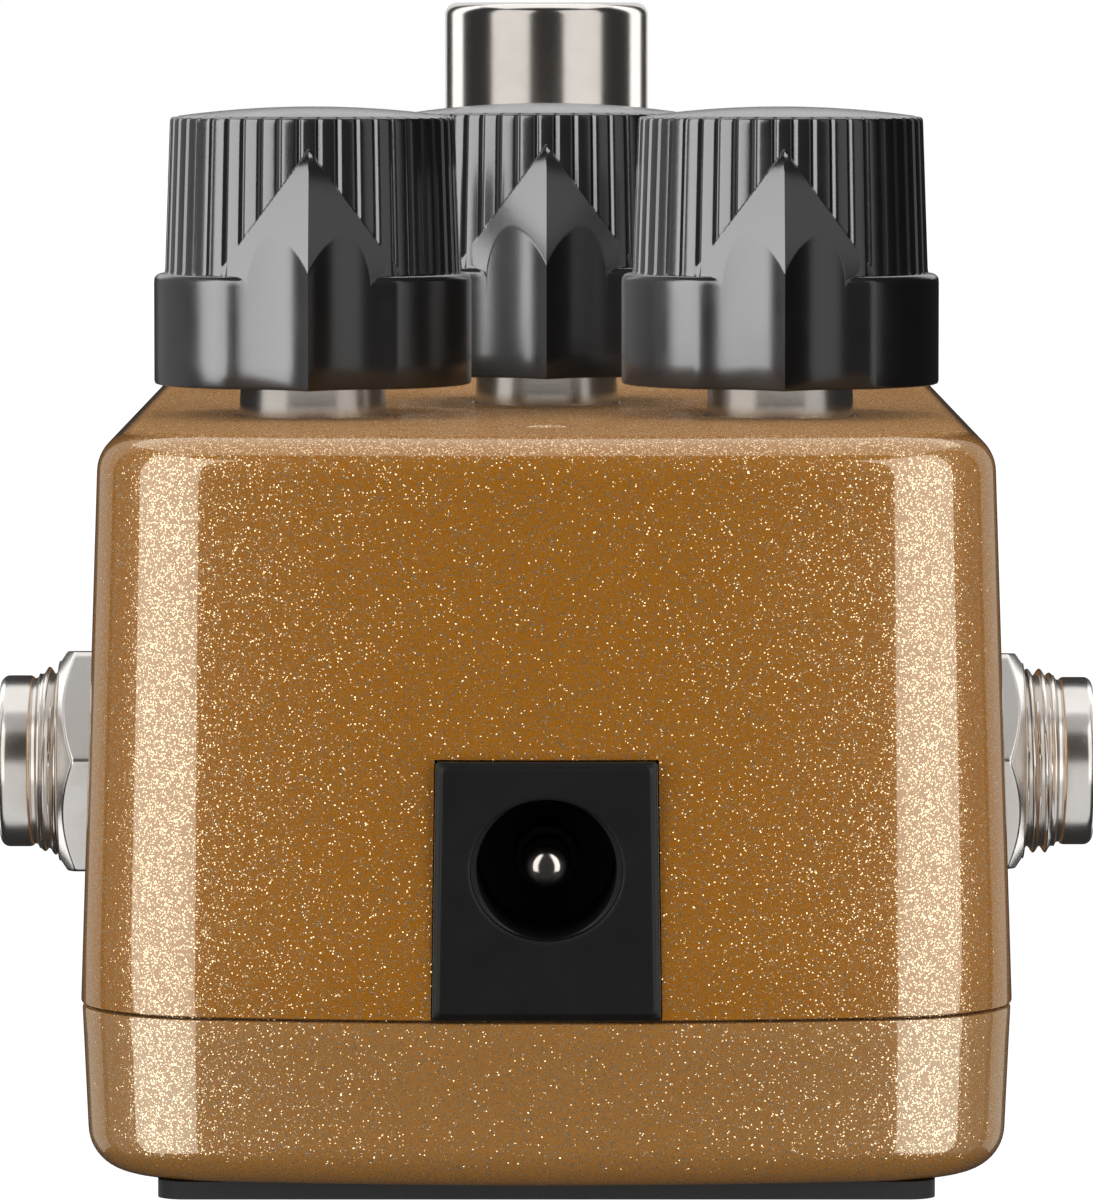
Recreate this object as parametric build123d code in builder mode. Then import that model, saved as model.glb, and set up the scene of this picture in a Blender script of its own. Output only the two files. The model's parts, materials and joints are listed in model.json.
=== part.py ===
from build123d import *
from math import atan, cos, degrees, radians, sqrt, tan
import os

os.makedirs("parts", exist_ok=True)

# A small guitar effects pedal in a two-part die-cast case. All sizes are in millimetres.
# Origin: on the surface it stands on, under the middle of the case. +Z is up.
# -Y is the rear wall with the power socket, +Y is the end with the footswitch.

# ---------------------------------------------------------------- case
case_width = 42.0
case_length = 93.7
end_radius = 80.0  # the end walls are gently bowed in plan
corner_radius = 7.0
wall = 2.2
mat_height = 0.8
seam_z = 8.4  # upper and lower casings meet here
panel_z = 34.2  # top of the panel
panel_thickness = 2.2
panel_under_z = panel_z - panel_thickness
upper_draft = 1.9  # degrees
lower_draft = 2.6
top_edge_radius = 1.9
base_edge_radius = 2.0
base_wall = 1.9
floor_z = 2.6  # inside face of the base
seam_gap = 0.12  # dark line between the casings
seam_lip = 0.7  # how far in from the outside the gap runs
lower_step = 0.06  # the base is a hair smaller than the upper casing

# base screws, through pillars in the base into bosses in the upper casing
screw_x = 13.6
screw_y = 38.6
boss_radius = 3.4
pillar_radius = 3.5
screw_radius = 1.48
screw_length_z = 16.0  # height of the screw's tip
screw_head_radius = 2.9

# rubber mat
mat_width = 34.8
mat_length = 86.8

# ---------------------------------------------------------------- boards
board_thickness = 1.6
main_board_z = seam_z - board_thickness
control_board_z = 23.2
control_board_top_z = control_board_z + board_thickness
header_y = -4.6
pin_width = 0.64
pin_pitch = 2.54

# ---------------------------------------------------------------- controls
side_knob_x = 10.85
side_knob_y = -24.95
middle_knob_y = -12.4
knobs = {
    "left": (-side_knob_x, side_knob_y),
    "right": (side_knob_x, side_knob_y),
    "middle": (0.0, middle_knob_y),
}
skirt_z = 35.65
skirt_radius = 7.3
cap_z = 40.5
cap_base_radius = 6.85
cap_rim_radius = 6.6
cap_rim_z = 47.9
dome_height = 0.6
flutes = 46
prow_radius = 8.45  # tip of the pointer
prow_top_z = 46.5
prow_half_width = 4.15
shaft_radius = 2.97
shaft_top_z = 45.6
shaft_flat = 1.6  # distance of the D flat from the axis
hub_z = 36.95
hub_radius = 4.6
knob_wall_radius = 5.7  # inside of the knob's wall, around its hub
knob_groove_depth = 7.4
pot_width = 9.8
pot_depth = 11.4
pot_height = 6.9
pot_leg_tail = 0.3  # trimmed short over the jack bodies
collar_top_z = 36.5
collar_radius = 3.44  # where it leaves the panel
panel_hole_radius = 3.5

# ---------------------------------------------------------------- footswitch
switch_y = 28.0
button_radius = 5.3
button_top_z = 53.2
button_under_z = 46.2
stem_radius = 3.8
switch_thread_radius = 5.95
switch_thread_top_z = 42.4
switch_thread_pitch = 0.75
switch_thread_turns = 10
switch_nut_flats = 14.0
switch_nut_turn = 9  # degrees
switch_washer_radius = 7.9
switch_housing = 17.2
switch_housing_z = 17.6
switch_frame_z = 31.0
switch_board_z = 13.2
spring_wire_radius = 0.35
spring_radius = 4.35

# ---------------------------------------------------------------- jacks
# The jacks are offset along Y so that two full-length plugs pass each other.
jacks = {
    "left": {"side": -1, "y": -21.35, "z": 17.75, "nose": 25.6},
    "right": {"side": 1, "y": -12.35, "z": 16.97, "nose": 26.15},
}
jack_bore_radius = 3.25
jack_thread_radius = 4.42
jack_nose_radius = 4.02
jack_nose_length = 1.85
jack_thread_pitch = 0.58
jack_nut_flats = 10.3
jack_nut_thickness = 2.3
jack_nut_face_radius = 4.6  # outer face of the nut, inside its conical chamfer
jack_nut_slope = 1.5  # how fast the chamfer's cone widens, radius for depth
jack_nut_turn = 4.5  # degrees, a corner above the level of the axis
jack_spot_radius = 6.3
jack_seat = 20.55  # flat spot on the side wall that the nut bears on
jack_shoulder = 18.1  # the plastic body stops just inside the wall
jack_body_inner = 2.2
jack_body_width = 9.6
jack_body_above = 4.95  # body height above the axis

# ---------------------------------------------------------------- power socket and light
socket_face_y = -46.95
socket_axis_z = 15.1
socket_top_z = 19.9
socket_base_width = 10.15
socket_top_width = 9.8
socket_plate = 2.0
socket_body_width = 9.0
socket_length = 14.4
socket_bore_radius = 3.1
socket_bore_depth = 9.4
socket_mouth_half_width = 3.37  # the mouth is a little oval
socket_mouth_half_height = 3.13
socket_mouth_depth = 0.7
socket_boss_radius = 1.45
light_y = -35.8
light_radius = 1.5
light_hole_radius = 1.05
light_pocket_z = 33.35  # the wider hole under the panel that takes the lens
light_rim_depth = 0.25


def body_plan(inset):
    """The case in plan, drawn in by an inset: straight sides, bowed ends, round corners."""
    half_width = case_width / 2 - inset
    half_length = case_length / 2 - inset
    bow = end_radius - sqrt(end_radius**2 - half_width**2)
    with BuildSketch() as plan:
        with BuildLine():
            rear_y = bow - half_length
            ThreePointArc((-half_width, rear_y), (0, -half_length), (half_width, rear_y))
            Line((half_width, rear_y), (half_width, -rear_y))
            ThreePointArc((half_width, -rear_y), (0, half_length), (-half_width, -rear_y))
            Line((-half_width, -rear_y), (-half_width, rear_y))
        make_face()
        fillet(plan.vertices(), corner_radius - inset)
    return plan.sketch


def jack_plane(jack):
    """A plane through the jack's axis point at the middle of the case, facing out of the side."""
    return Plane(origin=(0, jack["y"], jack["z"]), x_dir=(0, 1, 0), z_dir=(jack["side"], 0, 0))


def jack_side_plane(jack):
    """An upright plane along the jack's axis: x points out of the side, y points up."""
    return Plane(origin=(0, jack["y"], jack["z"]), x_dir=(jack["side"], 0, 0), z_dir=(0, -jack["side"], 0))


screw_places = [(x, y) for x in (-screw_x, screw_x) for y in (-screw_y, screw_y)]
control_screw_places = [(-13.6, header_y), (13.6, header_y)]
control_boss_radius = 2.6

# ================================================================ upper casing
with BuildPart() as upper_casing:
    with BuildSketch(Plane.XY.offset(seam_z)):
        add(body_plan(0))
    extrude(amount=panel_z - seam_z, taper=upper_draft)
    fillet(upper_casing.edges().group_by(Axis.Z)[-1], top_edge_radius)
    with BuildSketch(Plane.XY.offset(seam_z)):
        add(body_plan(wall))
    extrude(amount=panel_under_z - seam_z, taper=upper_draft, mode=Mode.SUBTRACT)
    with BuildSketch(Plane.XY.offset(seam_z)):
        with Locations(*screw_places):
            Circle(boss_radius)
    extrude(amount=panel_under_z - seam_z)
    with BuildSketch(Plane.XY.offset(seam_z)):
        with Locations(*screw_places):
            Circle(screw_radius + 0.04)
    extrude(amount=screw_length_z + 1.0 - seam_z, mode=Mode.SUBTRACT)
    with BuildSketch(Plane.XY.offset(control_board_top_z)):
        with Locations(*control_screw_places):
            Circle(control_boss_radius)
    extrude(amount=panel_under_z - control_board_top_z)
    with BuildSketch(Plane.XY.offset(control_board_top_z)):
        with Locations(*control_screw_places):
            Circle(1.2)
    extrude(amount=5.0, mode=Mode.SUBTRACT)
    # holes in the panel for the three collars, the footswitch and the light
    with BuildSketch(Plane.XY.offset(panel_under_z - 1)):
        with Locations(*knobs.values()):
            Circle(panel_hole_radius)
        with Locations((0, switch_y)):
            Circle(switch_thread_radius + 0.1)
        with Locations((0, light_y)):
            Circle(light_hole_radius)
    extrude(amount=panel_thickness + 2, mode=Mode.SUBTRACT)
    with BuildSketch(Plane.XY.offset(panel_under_z - 1)):
        with Locations((0, light_y)):
            Circle(light_radius + 0.12)
    extrude(amount=light_pocket_z - panel_under_z + 1, mode=Mode.SUBTRACT)
    with BuildSketch(Plane.XY.offset(panel_z - light_rim_depth)):
        with Locations((0, light_y)):
            Circle(light_hole_radius + 0.02)
    extrude(amount=light_rim_depth + 0.01, taper=-46, mode=Mode.SUBTRACT)
    # a flat spot and a hole in each side wall for the jacks
    for jack in jacks.values():
        with BuildSketch(jack_plane(jack).offset(jack_seat)):
            Circle(jack_spot_radius)
        extrude(amount=2, mode=Mode.SUBTRACT)
        with BuildSketch(jack_plane(jack).offset(15)):
            Circle(jack_thread_radius + 0.1)
        extrude(amount=8, mode=Mode.SUBTRACT)
    # the notch that the power socket's front plate fills, open to the seam
    with BuildSketch(Plane.XZ.offset(-socket_face_y - 6)):
        with BuildLine():
            Polyline(
                (-socket_base_width / 2 - 0.06, seam_z - 1),
                (socket_base_width / 2 + 0.06, seam_z - 1),
                (socket_top_width / 2 + 0.06, socket_top_z + 0.06),
                (-socket_top_width / 2 - 0.06, socket_top_z + 0.06),
                close=True,
            )
        make_face()
    extrude(amount=8, mode=Mode.SUBTRACT)
upper_casing.part.label = "upper_casing"
export_step(upper_casing.part, "parts/upper_casing.step")

# ================================================================ lower casing
base_plane = Plane(origin=(0, 0, seam_z - seam_gap), x_dir=(1, 0, 0), z_dir=(0, 0, -1))
post_places = [(x, y) for x in (-15.4, 15.4) for y in (-29.0, 0.0, 24.0)]
with BuildPart() as lower_casing:
    with BuildSketch(base_plane):
        add(body_plan(lower_step))
    extrude(amount=seam_z - seam_gap - mat_height, taper=lower_draft)
    fillet(lower_casing.edges().group_by(Axis.Z)[0], base_edge_radius)
    with BuildSketch(base_plane):
        add(body_plan(base_wall))
    extrude(amount=seam_z - seam_gap - floor_z, taper=lower_draft, mode=Mode.SUBTRACT)
    with BuildSketch(Plane.XY.offset(seam_z - seam_gap)):
        add(body_plan(seam_lip))
        add(body_plan(base_wall), mode=Mode.SUBTRACT)
    extrude(amount=seam_gap)
    with BuildSketch(Plane.XY.offset(floor_z - 0.5)):
        with Locations(*screw_places):
            Circle(pillar_radius)
    extrude(amount=seam_z - floor_z + 0.5)
    with BuildSketch(Plane.XY.offset(floor_z - 0.5)):
        with Locations(*post_places):
            Circle(1.8)
    extrude(amount=main_board_z - floor_z + 0.5)
    with BuildSketch(Plane.XY):
        with Locations(*screw_places):
            Circle(screw_radius + 0.2)
    extrude(amount=seam_z + 1, mode=Mode.SUBTRACT)
    with BuildSketch(Plane.XY.offset(mat_height)):
        with Locations(*screw_places):
            Circle(screw_head_radius + 0.2)
    extrude(amount=1.6, taper=41.5, mode=Mode.SUBTRACT)
lower_casing.part.label = "lower_casing"
export_step(lower_casing.part, "parts/lower_casing.step")

# ================================================================ rubber mat
with BuildPart() as rubber_mat:
    with BuildSketch():
        RectangleRounded(mat_width, mat_length, 1.2)
        with Locations(*screw_places):
            Circle(screw_head_radius + 0.5, mode=Mode.SUBTRACT)
    extrude(amount=mat_height)
rubber_mat.part.label = "rubber_mat"
export_step(rubber_mat.part, "parts/rubber_mat.step")

# ================================================================ base screws
with BuildPart() as base_screws:
    with Locations(*[(x, y, mat_height + 0.1) for x, y in screw_places]):
        Cone(screw_head_radius, screw_radius, 1.42, align=(Align.CENTER, Align.CENTER, Align.MIN))
        Cylinder(
            screw_radius,
            screw_length_z - mat_height - 0.1,
            align=(Align.CENTER, Align.CENTER, Align.MIN),
        )
        Box(3.2, 0.7, 1.2, mode=Mode.SUBTRACT)
        Box(0.7, 3.2, 1.2, mode=Mode.SUBTRACT)
base_screws.part.label = "base_screws"
export_step(base_screws.part, "parts/base_screws.step")

# ================================================================ knobs, shafts and pots
# the pointer is a prow: a wedge in plan, sloped back along its ridge and pitched at both sides
with BuildPart() as prow:
    with BuildSketch(Plane.XY.offset(skirt_z)):
        with BuildLine():
            Polyline(
                (-prow_half_width - 0.3, -5.6),
                (0, -prow_radius),
                (prow_half_width + 0.3, -5.6),
                close=True,
            )
        make_face()
    extrude(amount=prow_top_z - skirt_z)
    with BuildSketch(Plane.XZ):
        with BuildLine():
            Polyline(
                (-prow_half_width - 0.4, skirt_z),
                (prow_half_width + 0.4, skirt_z),
                (prow_half_width + 0.1, cap_z),
                (0, prow_top_z),
                (-prow_half_width - 0.1, cap_z),
                close=True,
            )
        make_face()
    extrude(amount=prow_radius + 1, mode=Mode.INTERSECT)
    with BuildSketch(Plane(origin=(0, 0, 0), x_dir=(0, -1, 0), z_dir=(-1, 0, 0))):
        with BuildLine():
            Polyline(
                (4.0, skirt_z),
                (prow_radius, skirt_z),
                (prow_radius, cap_z - 0.9),
                (cap_rim_radius, prow_top_z),
                (4.0, prow_top_z),
                close=True,
            )
        make_face()
    extrude(amount=6, both=True, mode=Mode.INTERSECT)

for side, (knob_x, knob_y) in knobs.items():
    knob_floor = Plane(origin=(knob_x, knob_y, 0))
    with BuildPart() as knob:
        with BuildSketch(knob_floor.offset(skirt_z)):
            Circle(skirt_radius)
        extrude(amount=cap_z - skirt_z)
        fillet(knob.edges().group_by(Axis.Z)[-1], 0.3)
        with BuildSketch(knob_floor.offset(cap_z - 0.4)):
            Circle(cap_base_radius)
            with PolarLocations(cap_base_radius + 0.28, flutes):
                Circle(0.38, mode=Mode.SUBTRACT)
        cap_draft = degrees(atan((cap_base_radius - cap_rim_radius) / (cap_rim_z - cap_z)))
        extrude(amount=cap_rim_z - cap_z + 0.4, taper=cap_draft)
        dome_radius = (cap_rim_radius**2 + dome_height**2) / (2 * dome_height)
        with BuildSketch(knob_floor.offset(cap_rim_z - 0.2)):
            Circle(cap_rim_radius - 0.3)
        extrude(amount=dome_height + 0.4)
        with Locations((knob_x, knob_y, cap_rim_z + dome_height - dome_radius)):
            Sphere(dome_radius, mode=Mode.INTERSECT)
        add(prow.part.moved(Location((knob_x, knob_y, 0))))
        # hollow underneath, with a hub around the shaft
        with BuildSketch(knob_floor.offset(skirt_z - 1)):
            Circle(6.0)
        extrude(amount=hub_z - skirt_z + 1, mode=Mode.SUBTRACT)
        with BuildSketch(knob_floor.offset(hub_z)):
            Circle(knob_wall_radius)
            Circle(hub_radius, mode=Mode.SUBTRACT)
        extrude(amount=knob_groove_depth, mode=Mode.SUBTRACT)
        with BuildSketch(knob_floor.offset(hub_z)):
            Circle(shaft_radius + 0.03)
            with Locations((0, shaft_flat + 0.03 + 3)):
                Rectangle(7, 6, mode=Mode.SUBTRACT)
        extrude(amount=shaft_top_z + 0.4 - hub_z, mode=Mode.SUBTRACT)
    knob.part.label = f"{side}_knob"
    export_step(knob.part, f"parts/{side}_knob.step")

    rotor_z = control_board_top_z + 2.1
    rotor_height = 1.5
    with BuildPart() as pot_shaft:
        with BuildSketch(knob_floor.offset(rotor_z)):
            Circle(3.7)
        extrude(amount=rotor_height)
        with BuildSketch(knob_floor.offset(rotor_z)):
            Circle(shaft_radius)
        extrude(amount=shaft_top_z - rotor_z)
        chamfer(pot_shaft.edges().group_by(Axis.Z)[-1], 0.4)
        with BuildSketch(knob_floor.offset(hub_z - 0.2)):
            with Locations((0, shaft_flat + 3)):
                Rectangle(7, 6)
        extrude(amount=12, mode=Mode.SUBTRACT)
    pot_shaft.part.label = f"{side}_pot_shaft"
    export_step(pot_shaft.part, f"parts/{side}_pot_shaft.step")

    pot_top_z = control_board_top_z + pot_height
    with BuildPart() as pot_bushing:
        with BuildSketch(Plane(origin=(knob_x, knob_y, 0), x_dir=(1, 0, 0), z_dir=(0, -1, 0))):
            with BuildLine():
                Polyline(
                    (shaft_radius + 0.06, pot_top_z),
                    (3.4, pot_top_z),
                    (3.4, panel_z),
                    (collar_radius, panel_z),
                    (3.31, collar_top_z - 0.15),
                    (3.2, collar_top_z),
                    (shaft_radius + 0.06, collar_top_z),
                    close=True,
                )
            make_face()
        revolve(axis=Axis((knob_x, knob_y, 0), (0, 0, 1)))
    pot_bushing.part.label = f"{side}_pot_bushing"
    export_step(pot_bushing.part, f"parts/{side}_pot_bushing.step")

    with BuildPart() as pot_body:
        with BuildSketch(knob_floor.offset(control_board_top_z)):
            RectangleRounded(pot_width, pot_depth, 0.8)
        extrude(amount=pot_height)
        with BuildSketch(knob_floor.offset(rotor_z - 0.2)):
            Circle(3.9)
        extrude(amount=rotor_height + 0.4, mode=Mode.SUBTRACT)
        with BuildSketch(knob_floor.offset(rotor_z)):
            Circle(shaft_radius + 0.08)
        extrude(amount=pot_height, mode=Mode.SUBTRACT)
    pot_body.part.label = f"{side}_pot_body"
    export_step(pot_body.part, f"parts/{side}_pot_body.step")

# solder legs of the three pots, in a row at the rear of each
pot_leg_places = [(x + dx, y - pot_depth / 2 + 0.9) for x, y in knobs.values() for dx in (-2.5, 0, 2.5)]
with BuildPart() as pot_legs:
    with BuildSketch(Plane.XY.offset(control_board_z - pot_leg_tail)):
        with Locations(*pot_leg_places):
            Rectangle(0.9, 0.4)
    extrude(amount=board_thickness + pot_leg_tail)
pot_legs.part.label = "pot_legs"
export_step(pot_legs.part, "parts/pot_legs.step")

# ================================================================ footswitch
switch_floor = Plane(origin=(0, switch_y, 0))
stem_collar_z = 28.8
with BuildPart() as footswitch_button:
    with BuildSketch(switch_floor.offset(button_under_z)):
        Circle(button_radius)
    extrude(amount=button_top_z - button_under_z)
    fillet(footswitch_button.edges().group_by(Axis.Z)[-1], 0.65)
    chamfer(footswitch_button.edges().group_by(Axis.Z)[0], 0.25)
    with BuildSketch(switch_floor.offset(stem_collar_z)):
        Circle(stem_radius)
    extrude(amount=button_under_z - stem_collar_z)
    with BuildSketch(switch_floor.offset(stem_collar_z)):
        Circle(5.0)
    extrude(amount=2.1)
footswitch_button.part.label = "footswitch_button"
export_step(footswitch_button.part, "parts/footswitch_button.step")

with BuildPart() as footswitch_bushing:
    with BuildSketch(switch_floor.offset(switch_frame_z)):
        RectangleRounded(switch_housing, switch_housing, 1.0)
    extrude(amount=panel_under_z - switch_frame_z)
    with BuildSketch(Plane(origin=(0, switch_y, 0), x_dir=(1, 0, 0), z_dir=(0, -1, 0))):
        with BuildLine():
            thread_root = switch_thread_radius - 0.35
            thread_z = panel_z + 0.05
            outline_points = [
                (stem_radius, switch_frame_z),
                (thread_root, switch_frame_z),
                (thread_root, thread_z),
            ]
            for turn in range(switch_thread_turns):
                outline_points.append((switch_thread_radius, thread_z + (turn + 0.45) * switch_thread_pitch))
                outline_points.append((switch_thread_radius, thread_z + (turn + 0.55) * switch_thread_pitch))
                outline_points.append((thread_root, thread_z + (turn + 1) * switch_thread_pitch))
            outline_points.append((thread_root, switch_thread_top_z))
            outline_points.append((stem_radius, switch_thread_top_z))
            Polyline(*outline_points, close=True)
        make_face()
    revolve(axis=Axis((0, switch_y, 0), (0, 0, 1)))
    with BuildSketch(switch_floor.offset(switch_frame_z - 1)):
        Circle(stem_radius + 0.06)
    extrude(amount=switch_thread_top_z, mode=Mode.SUBTRACT)
footswitch_bushing.part.label = "footswitch_bushing"
export_step(footswitch_bushing.part, "parts/footswitch_bushing.step")

washer_thickness = 0.8
nut_thickness = 2.4
with BuildPart() as footswitch_washer:
    with BuildSketch(switch_floor.offset(panel_z)):
        Circle(switch_washer_radius)
        Circle(switch_thread_radius + 0.08, mode=Mode.SUBTRACT)
    extrude(amount=washer_thickness)
    chamfer(footswitch_washer.edges().group_by(Axis.Z)[-1], 0.15)
footswitch_washer.part.label = "footswitch_washer"
export_step(footswitch_washer.part, "parts/footswitch_washer.step")

nut_z = panel_z + washer_thickness
nut_cone = 62  # degrees, the chamfer that rounds the nut's corners
nut_corner_radius = switch_nut_flats / 2 / cos(radians(30))
with BuildPart() as footswitch_nut:
    with BuildSketch(switch_floor.offset(nut_z)):
        RegularPolygon(nut_corner_radius, 6, rotation=switch_nut_turn)
        Circle(switch_thread_radius + 0.05, mode=Mode.SUBTRACT)
    extrude(amount=nut_thickness)
    with BuildSketch(switch_floor.offset(nut_z)):
        Circle(switch_nut_flats / 2 + nut_thickness * tan(radians(nut_cone)))
    extrude(amount=nut_thickness, taper=nut_cone, mode=Mode.INTERSECT)
footswitch_nut.part.label = "footswitch_nut"
export_step(footswitch_nut.part, "parts/footswitch_nut.step")

cavity_z = 19.4
with BuildPart() as footswitch_housing:
    with BuildSketch(switch_floor.offset(switch_housing_z)):
        RectangleRounded(switch_housing, switch_housing, 1.0)
    extrude(amount=switch_frame_z - switch_housing_z)
    with BuildSketch(switch_floor.offset(cavity_z)):
        Circle(5.6)
    extrude(amount=switch_frame_z - cavity_z, mode=Mode.SUBTRACT)
footswitch_housing.part.label = "footswitch_housing"
export_step(footswitch_housing.part, "parts/footswitch_housing.step")

spring_low_z = cavity_z + spring_wire_radius + 0.05
spring_high_z = stem_collar_z - spring_wire_radius - 0.05
with BuildPart() as footswitch_spring:
    with BuildLine() as coil:
        Helix(
            pitch=(spring_high_z - spring_low_z) / 5,
            height=spring_high_z - spring_low_z,
            radius=spring_radius,
            center=(0, switch_y, spring_low_z),
        )
    with BuildSketch(Plane(origin=coil.line @ 0, z_dir=coil.line % 0)):
        Circle(spring_wire_radius)
    sweep(is_frenet=True)
footswitch_spring.part.label = "footswitch_spring"
export_step(footswitch_spring.part, "parts/footswitch_spring.step")

lug_places = [(x, switch_y + y) for x in (-4.8, 0, 4.8) for y in (-5.0, 0, 5.0)]
with BuildPart() as footswitch_lugs:
    with BuildSketch(Plane.XY.offset(switch_board_z - 0.8)):
        with Locations(*lug_places):
            Rectangle(2.2, 0.6)
    extrude(amount=switch_housing_z - switch_board_z + 0.8)
footswitch_lugs.part.label = "footswitch_lugs"
export_step(footswitch_lugs.part, "parts/footswitch_lugs.step")

switch_board_length = 20.0
switch_header_y = switch_y - 10.6
switch_pin_places = [(i * pin_pitch, switch_header_y) for i in (-2, -1, 0, 1, 2)]
with BuildPart() as switch_board:
    with BuildSketch(Plane.XY.offset(switch_board_z)):
        with Locations((0, switch_y - 2.2)):
            Rectangle(18.4, switch_board_length + 1.4)
        with Locations(*lug_places):
            Rectangle(2.5, 0.9, mode=Mode.SUBTRACT)
        with Locations(*switch_pin_places):
            Circle(0.5, mode=Mode.SUBTRACT)
    extrude(amount=board_thickness)
switch_board.part.label = "switch_board"
export_step(switch_board.part, "parts/switch_board.step")

# ================================================================ jacks
for side, jack in jacks.items():
    plane = jack_plane(jack)
    with BuildPart() as jack_bushing:
        with BuildSketch(jack_side_plane(jack)):
            with BuildLine():
                nose = jack["nose"]
                thread_end = nose - jack_nose_length
                root = jack_thread_radius - 0.3
                points = [(jack_shoulder - 1.6, jack_bore_radius), (jack_shoulder - 1.6, root)]
                turns = int((thread_end - jack_shoulder) / jack_thread_pitch)
                start = thread_end - turns * jack_thread_pitch
                points.append((start, root))
                for turn in range(turns):
                    points.append((start + (turn + 0.42) * jack_thread_pitch, jack_thread_radius))
                    points.append((start + (turn + 0.58) * jack_thread_pitch, jack_thread_radius))
                    points.append((start + (turn + 1) * jack_thread_pitch, root))
                points.append((thread_end + 0.12, jack_nose_radius - 0.12))
                points.append((thread_end + 0.24, jack_nose_radius))
                points.append((nose - 0.3, jack_nose_radius))
                points.append((nose, jack_nose_radius - 0.3))
                points.append((nose, jack_bore_radius + 0.2))
                points.append((nose - 0.2, jack_bore_radius))
                Polyline(*points, close=True)
            make_face()
        revolve(axis=Axis((0, jack["y"], jack["z"]), (1, 0, 0)))
    jack_bushing.part.label = f"{side}_jack_bushing"
    export_step(jack_bushing.part, f"parts/{side}_jack_bushing.step")

    with BuildPart() as jack_nut:
        with BuildSketch(plane.offset(jack_seat)):
            corner_radius_of_nut = jack_nut_flats / 2 / cos(radians(30))
            RegularPolygon(corner_radius_of_nut, 6, rotation=180 - jack["side"] * jack_nut_turn)
            Circle(jack_thread_radius + 0.03, mode=Mode.SUBTRACT)
        extrude(amount=jack_nut_thickness)
        with BuildSketch(plane.offset(jack_seat)):
            Circle(jack_nut_face_radius + jack_nut_thickness * jack_nut_slope)
        extrude(amount=jack_nut_thickness, taper=degrees(atan(jack_nut_slope)), mode=Mode.INTERSECT)
    jack_nut.part.label = f"{side}_jack_nut"
    export_step(jack_nut.part, f"parts/{side}_jack_nut.step")

    body_middle_x = jack["side"] * (jack_body_inner + jack_shoulder) / 2
    with BuildPart() as jack_body:
        with BuildSketch(Plane.XY.offset(seam_z)):
            with Locations((body_middle_x, jack["y"])):
                Rectangle(jack_shoulder - jack_body_inner, jack_body_width)
        extrude(amount=jack["z"] + jack_body_above - seam_z)
        with BuildSketch(plane.offset(jack_body_inner - 1)):
            Circle(jack_bore_radius + 0.35)
        extrude(amount=jack_shoulder, mode=Mode.SUBTRACT)
        with BuildSketch(plane.offset(jack_shoulder - 1.6)):
            Circle(jack_thread_radius - 0.27)
        extrude(amount=3, mode=Mode.SUBTRACT)
        # slot for the tip spring, open at the top and at the inner end
        with BuildSketch(Plane.XY.offset(jack["z"])):
            with Locations((jack["side"] * (jack_body_inner + 5.9), jack["y"])):
                Rectangle(14.6, 2.6)
        extrude(amount=jack_body_above + 1, mode=Mode.SUBTRACT)
    jack_body.part.label = f"{side}_jack_body"
    export_step(jack_body.part, f"parts/{side}_jack_body.step")

    with BuildPart() as jack_tip_spring:
        with BuildSketch(jack_side_plane(jack)):
            with BuildLine():
                strip = Polyline(
                    (jack_body_inner + 12.8, 3.8),
                    (jack_body_inner + 12.8, 4.9),
                    (jack_body_inner + 4.0, 4.6),
                    (jack_body_inner + 2.0, 3.5),
                    (jack_body_inner + 0.4, 4.4),
                )
                offset(strip, amount=0.15, side=Side.BOTH, closed=True)
            make_face()
        extrude(amount=1.0, both=True)
    jack_tip_spring.part.label = f"{side}_jack_tip_spring"
    export_step(jack_tip_spring.part, f"parts/{side}_jack_tip_spring.step")

jack_leg_places = [
    (jack["side"] * x, jack["y"] + y)
    for jack in jacks.values()
    for x in (4.5, 11.0, 16.0)
    for y in (-3.6, 3.6)
]
with BuildPart() as jack_legs:
    with BuildSketch(Plane.XY.offset(main_board_z - 1.0)):
        with Locations(*jack_leg_places):
            Rectangle(1.2, 0.5)
    extrude(amount=board_thickness + 1.0)
jack_legs.part.label = "jack_legs"
export_step(jack_legs.part, "parts/jack_legs.step")

# ================================================================ power socket
socket_front = Plane(origin=(0, socket_face_y, 0), x_dir=(1, 0, 0), z_dir=(0, -1, 0))
with BuildPart() as dc_socket:
    with BuildSketch(socket_front.offset(-socket_plate)) as plate_sketch:
        with BuildLine():
            Polyline(
                (-socket_base_width / 2, seam_z),
                (socket_base_width / 2, seam_z),
                (socket_top_width / 2, socket_top_z),
                (-socket_top_width / 2, socket_top_z),
                close=True,
            )
        make_face()
        fillet(plate_sketch.vertices(), 0.25)
    extrude(amount=socket_plate)
    chamfer(dc_socket.faces().sort_by(Axis.Y)[0].edges(), 0.15)
    with BuildSketch(socket_front.offset(-socket_length)):
        with Locations((0, (seam_z + socket_top_z - 0.6) / 2)):
            Rectangle(socket_body_width, socket_top_z - 0.6 - seam_z)
    extrude(amount=socket_length - socket_plate)
    with BuildSketch(socket_front):
        with Locations((0, socket_axis_z)):
            Circle(socket_bore_radius)
    extrude(amount=-socket_bore_depth, mode=Mode.SUBTRACT)
    with BuildSketch(socket_front):
        with Locations((0, socket_axis_z)):
            Ellipse(socket_mouth_half_width, socket_mouth_half_height)
    extrude(amount=-socket_mouth_depth, mode=Mode.SUBTRACT)
    # insulating boss around the foot of the centre pin
    with BuildSketch(socket_front.offset(-socket_bore_depth)):
        with Locations((0, socket_axis_z)):
            Circle(socket_boss_radius)
    extrude(amount=3.2)
    with BuildSketch(socket_front.offset(-socket_length)):
        with Locations((0, socket_axis_z)):
            Circle(1.02)
    extrude(amount=socket_length, mode=Mode.SUBTRACT)
dc_socket.part.label = "dc_socket"
export_step(dc_socket.part, "parts/dc_socket.step")

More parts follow.
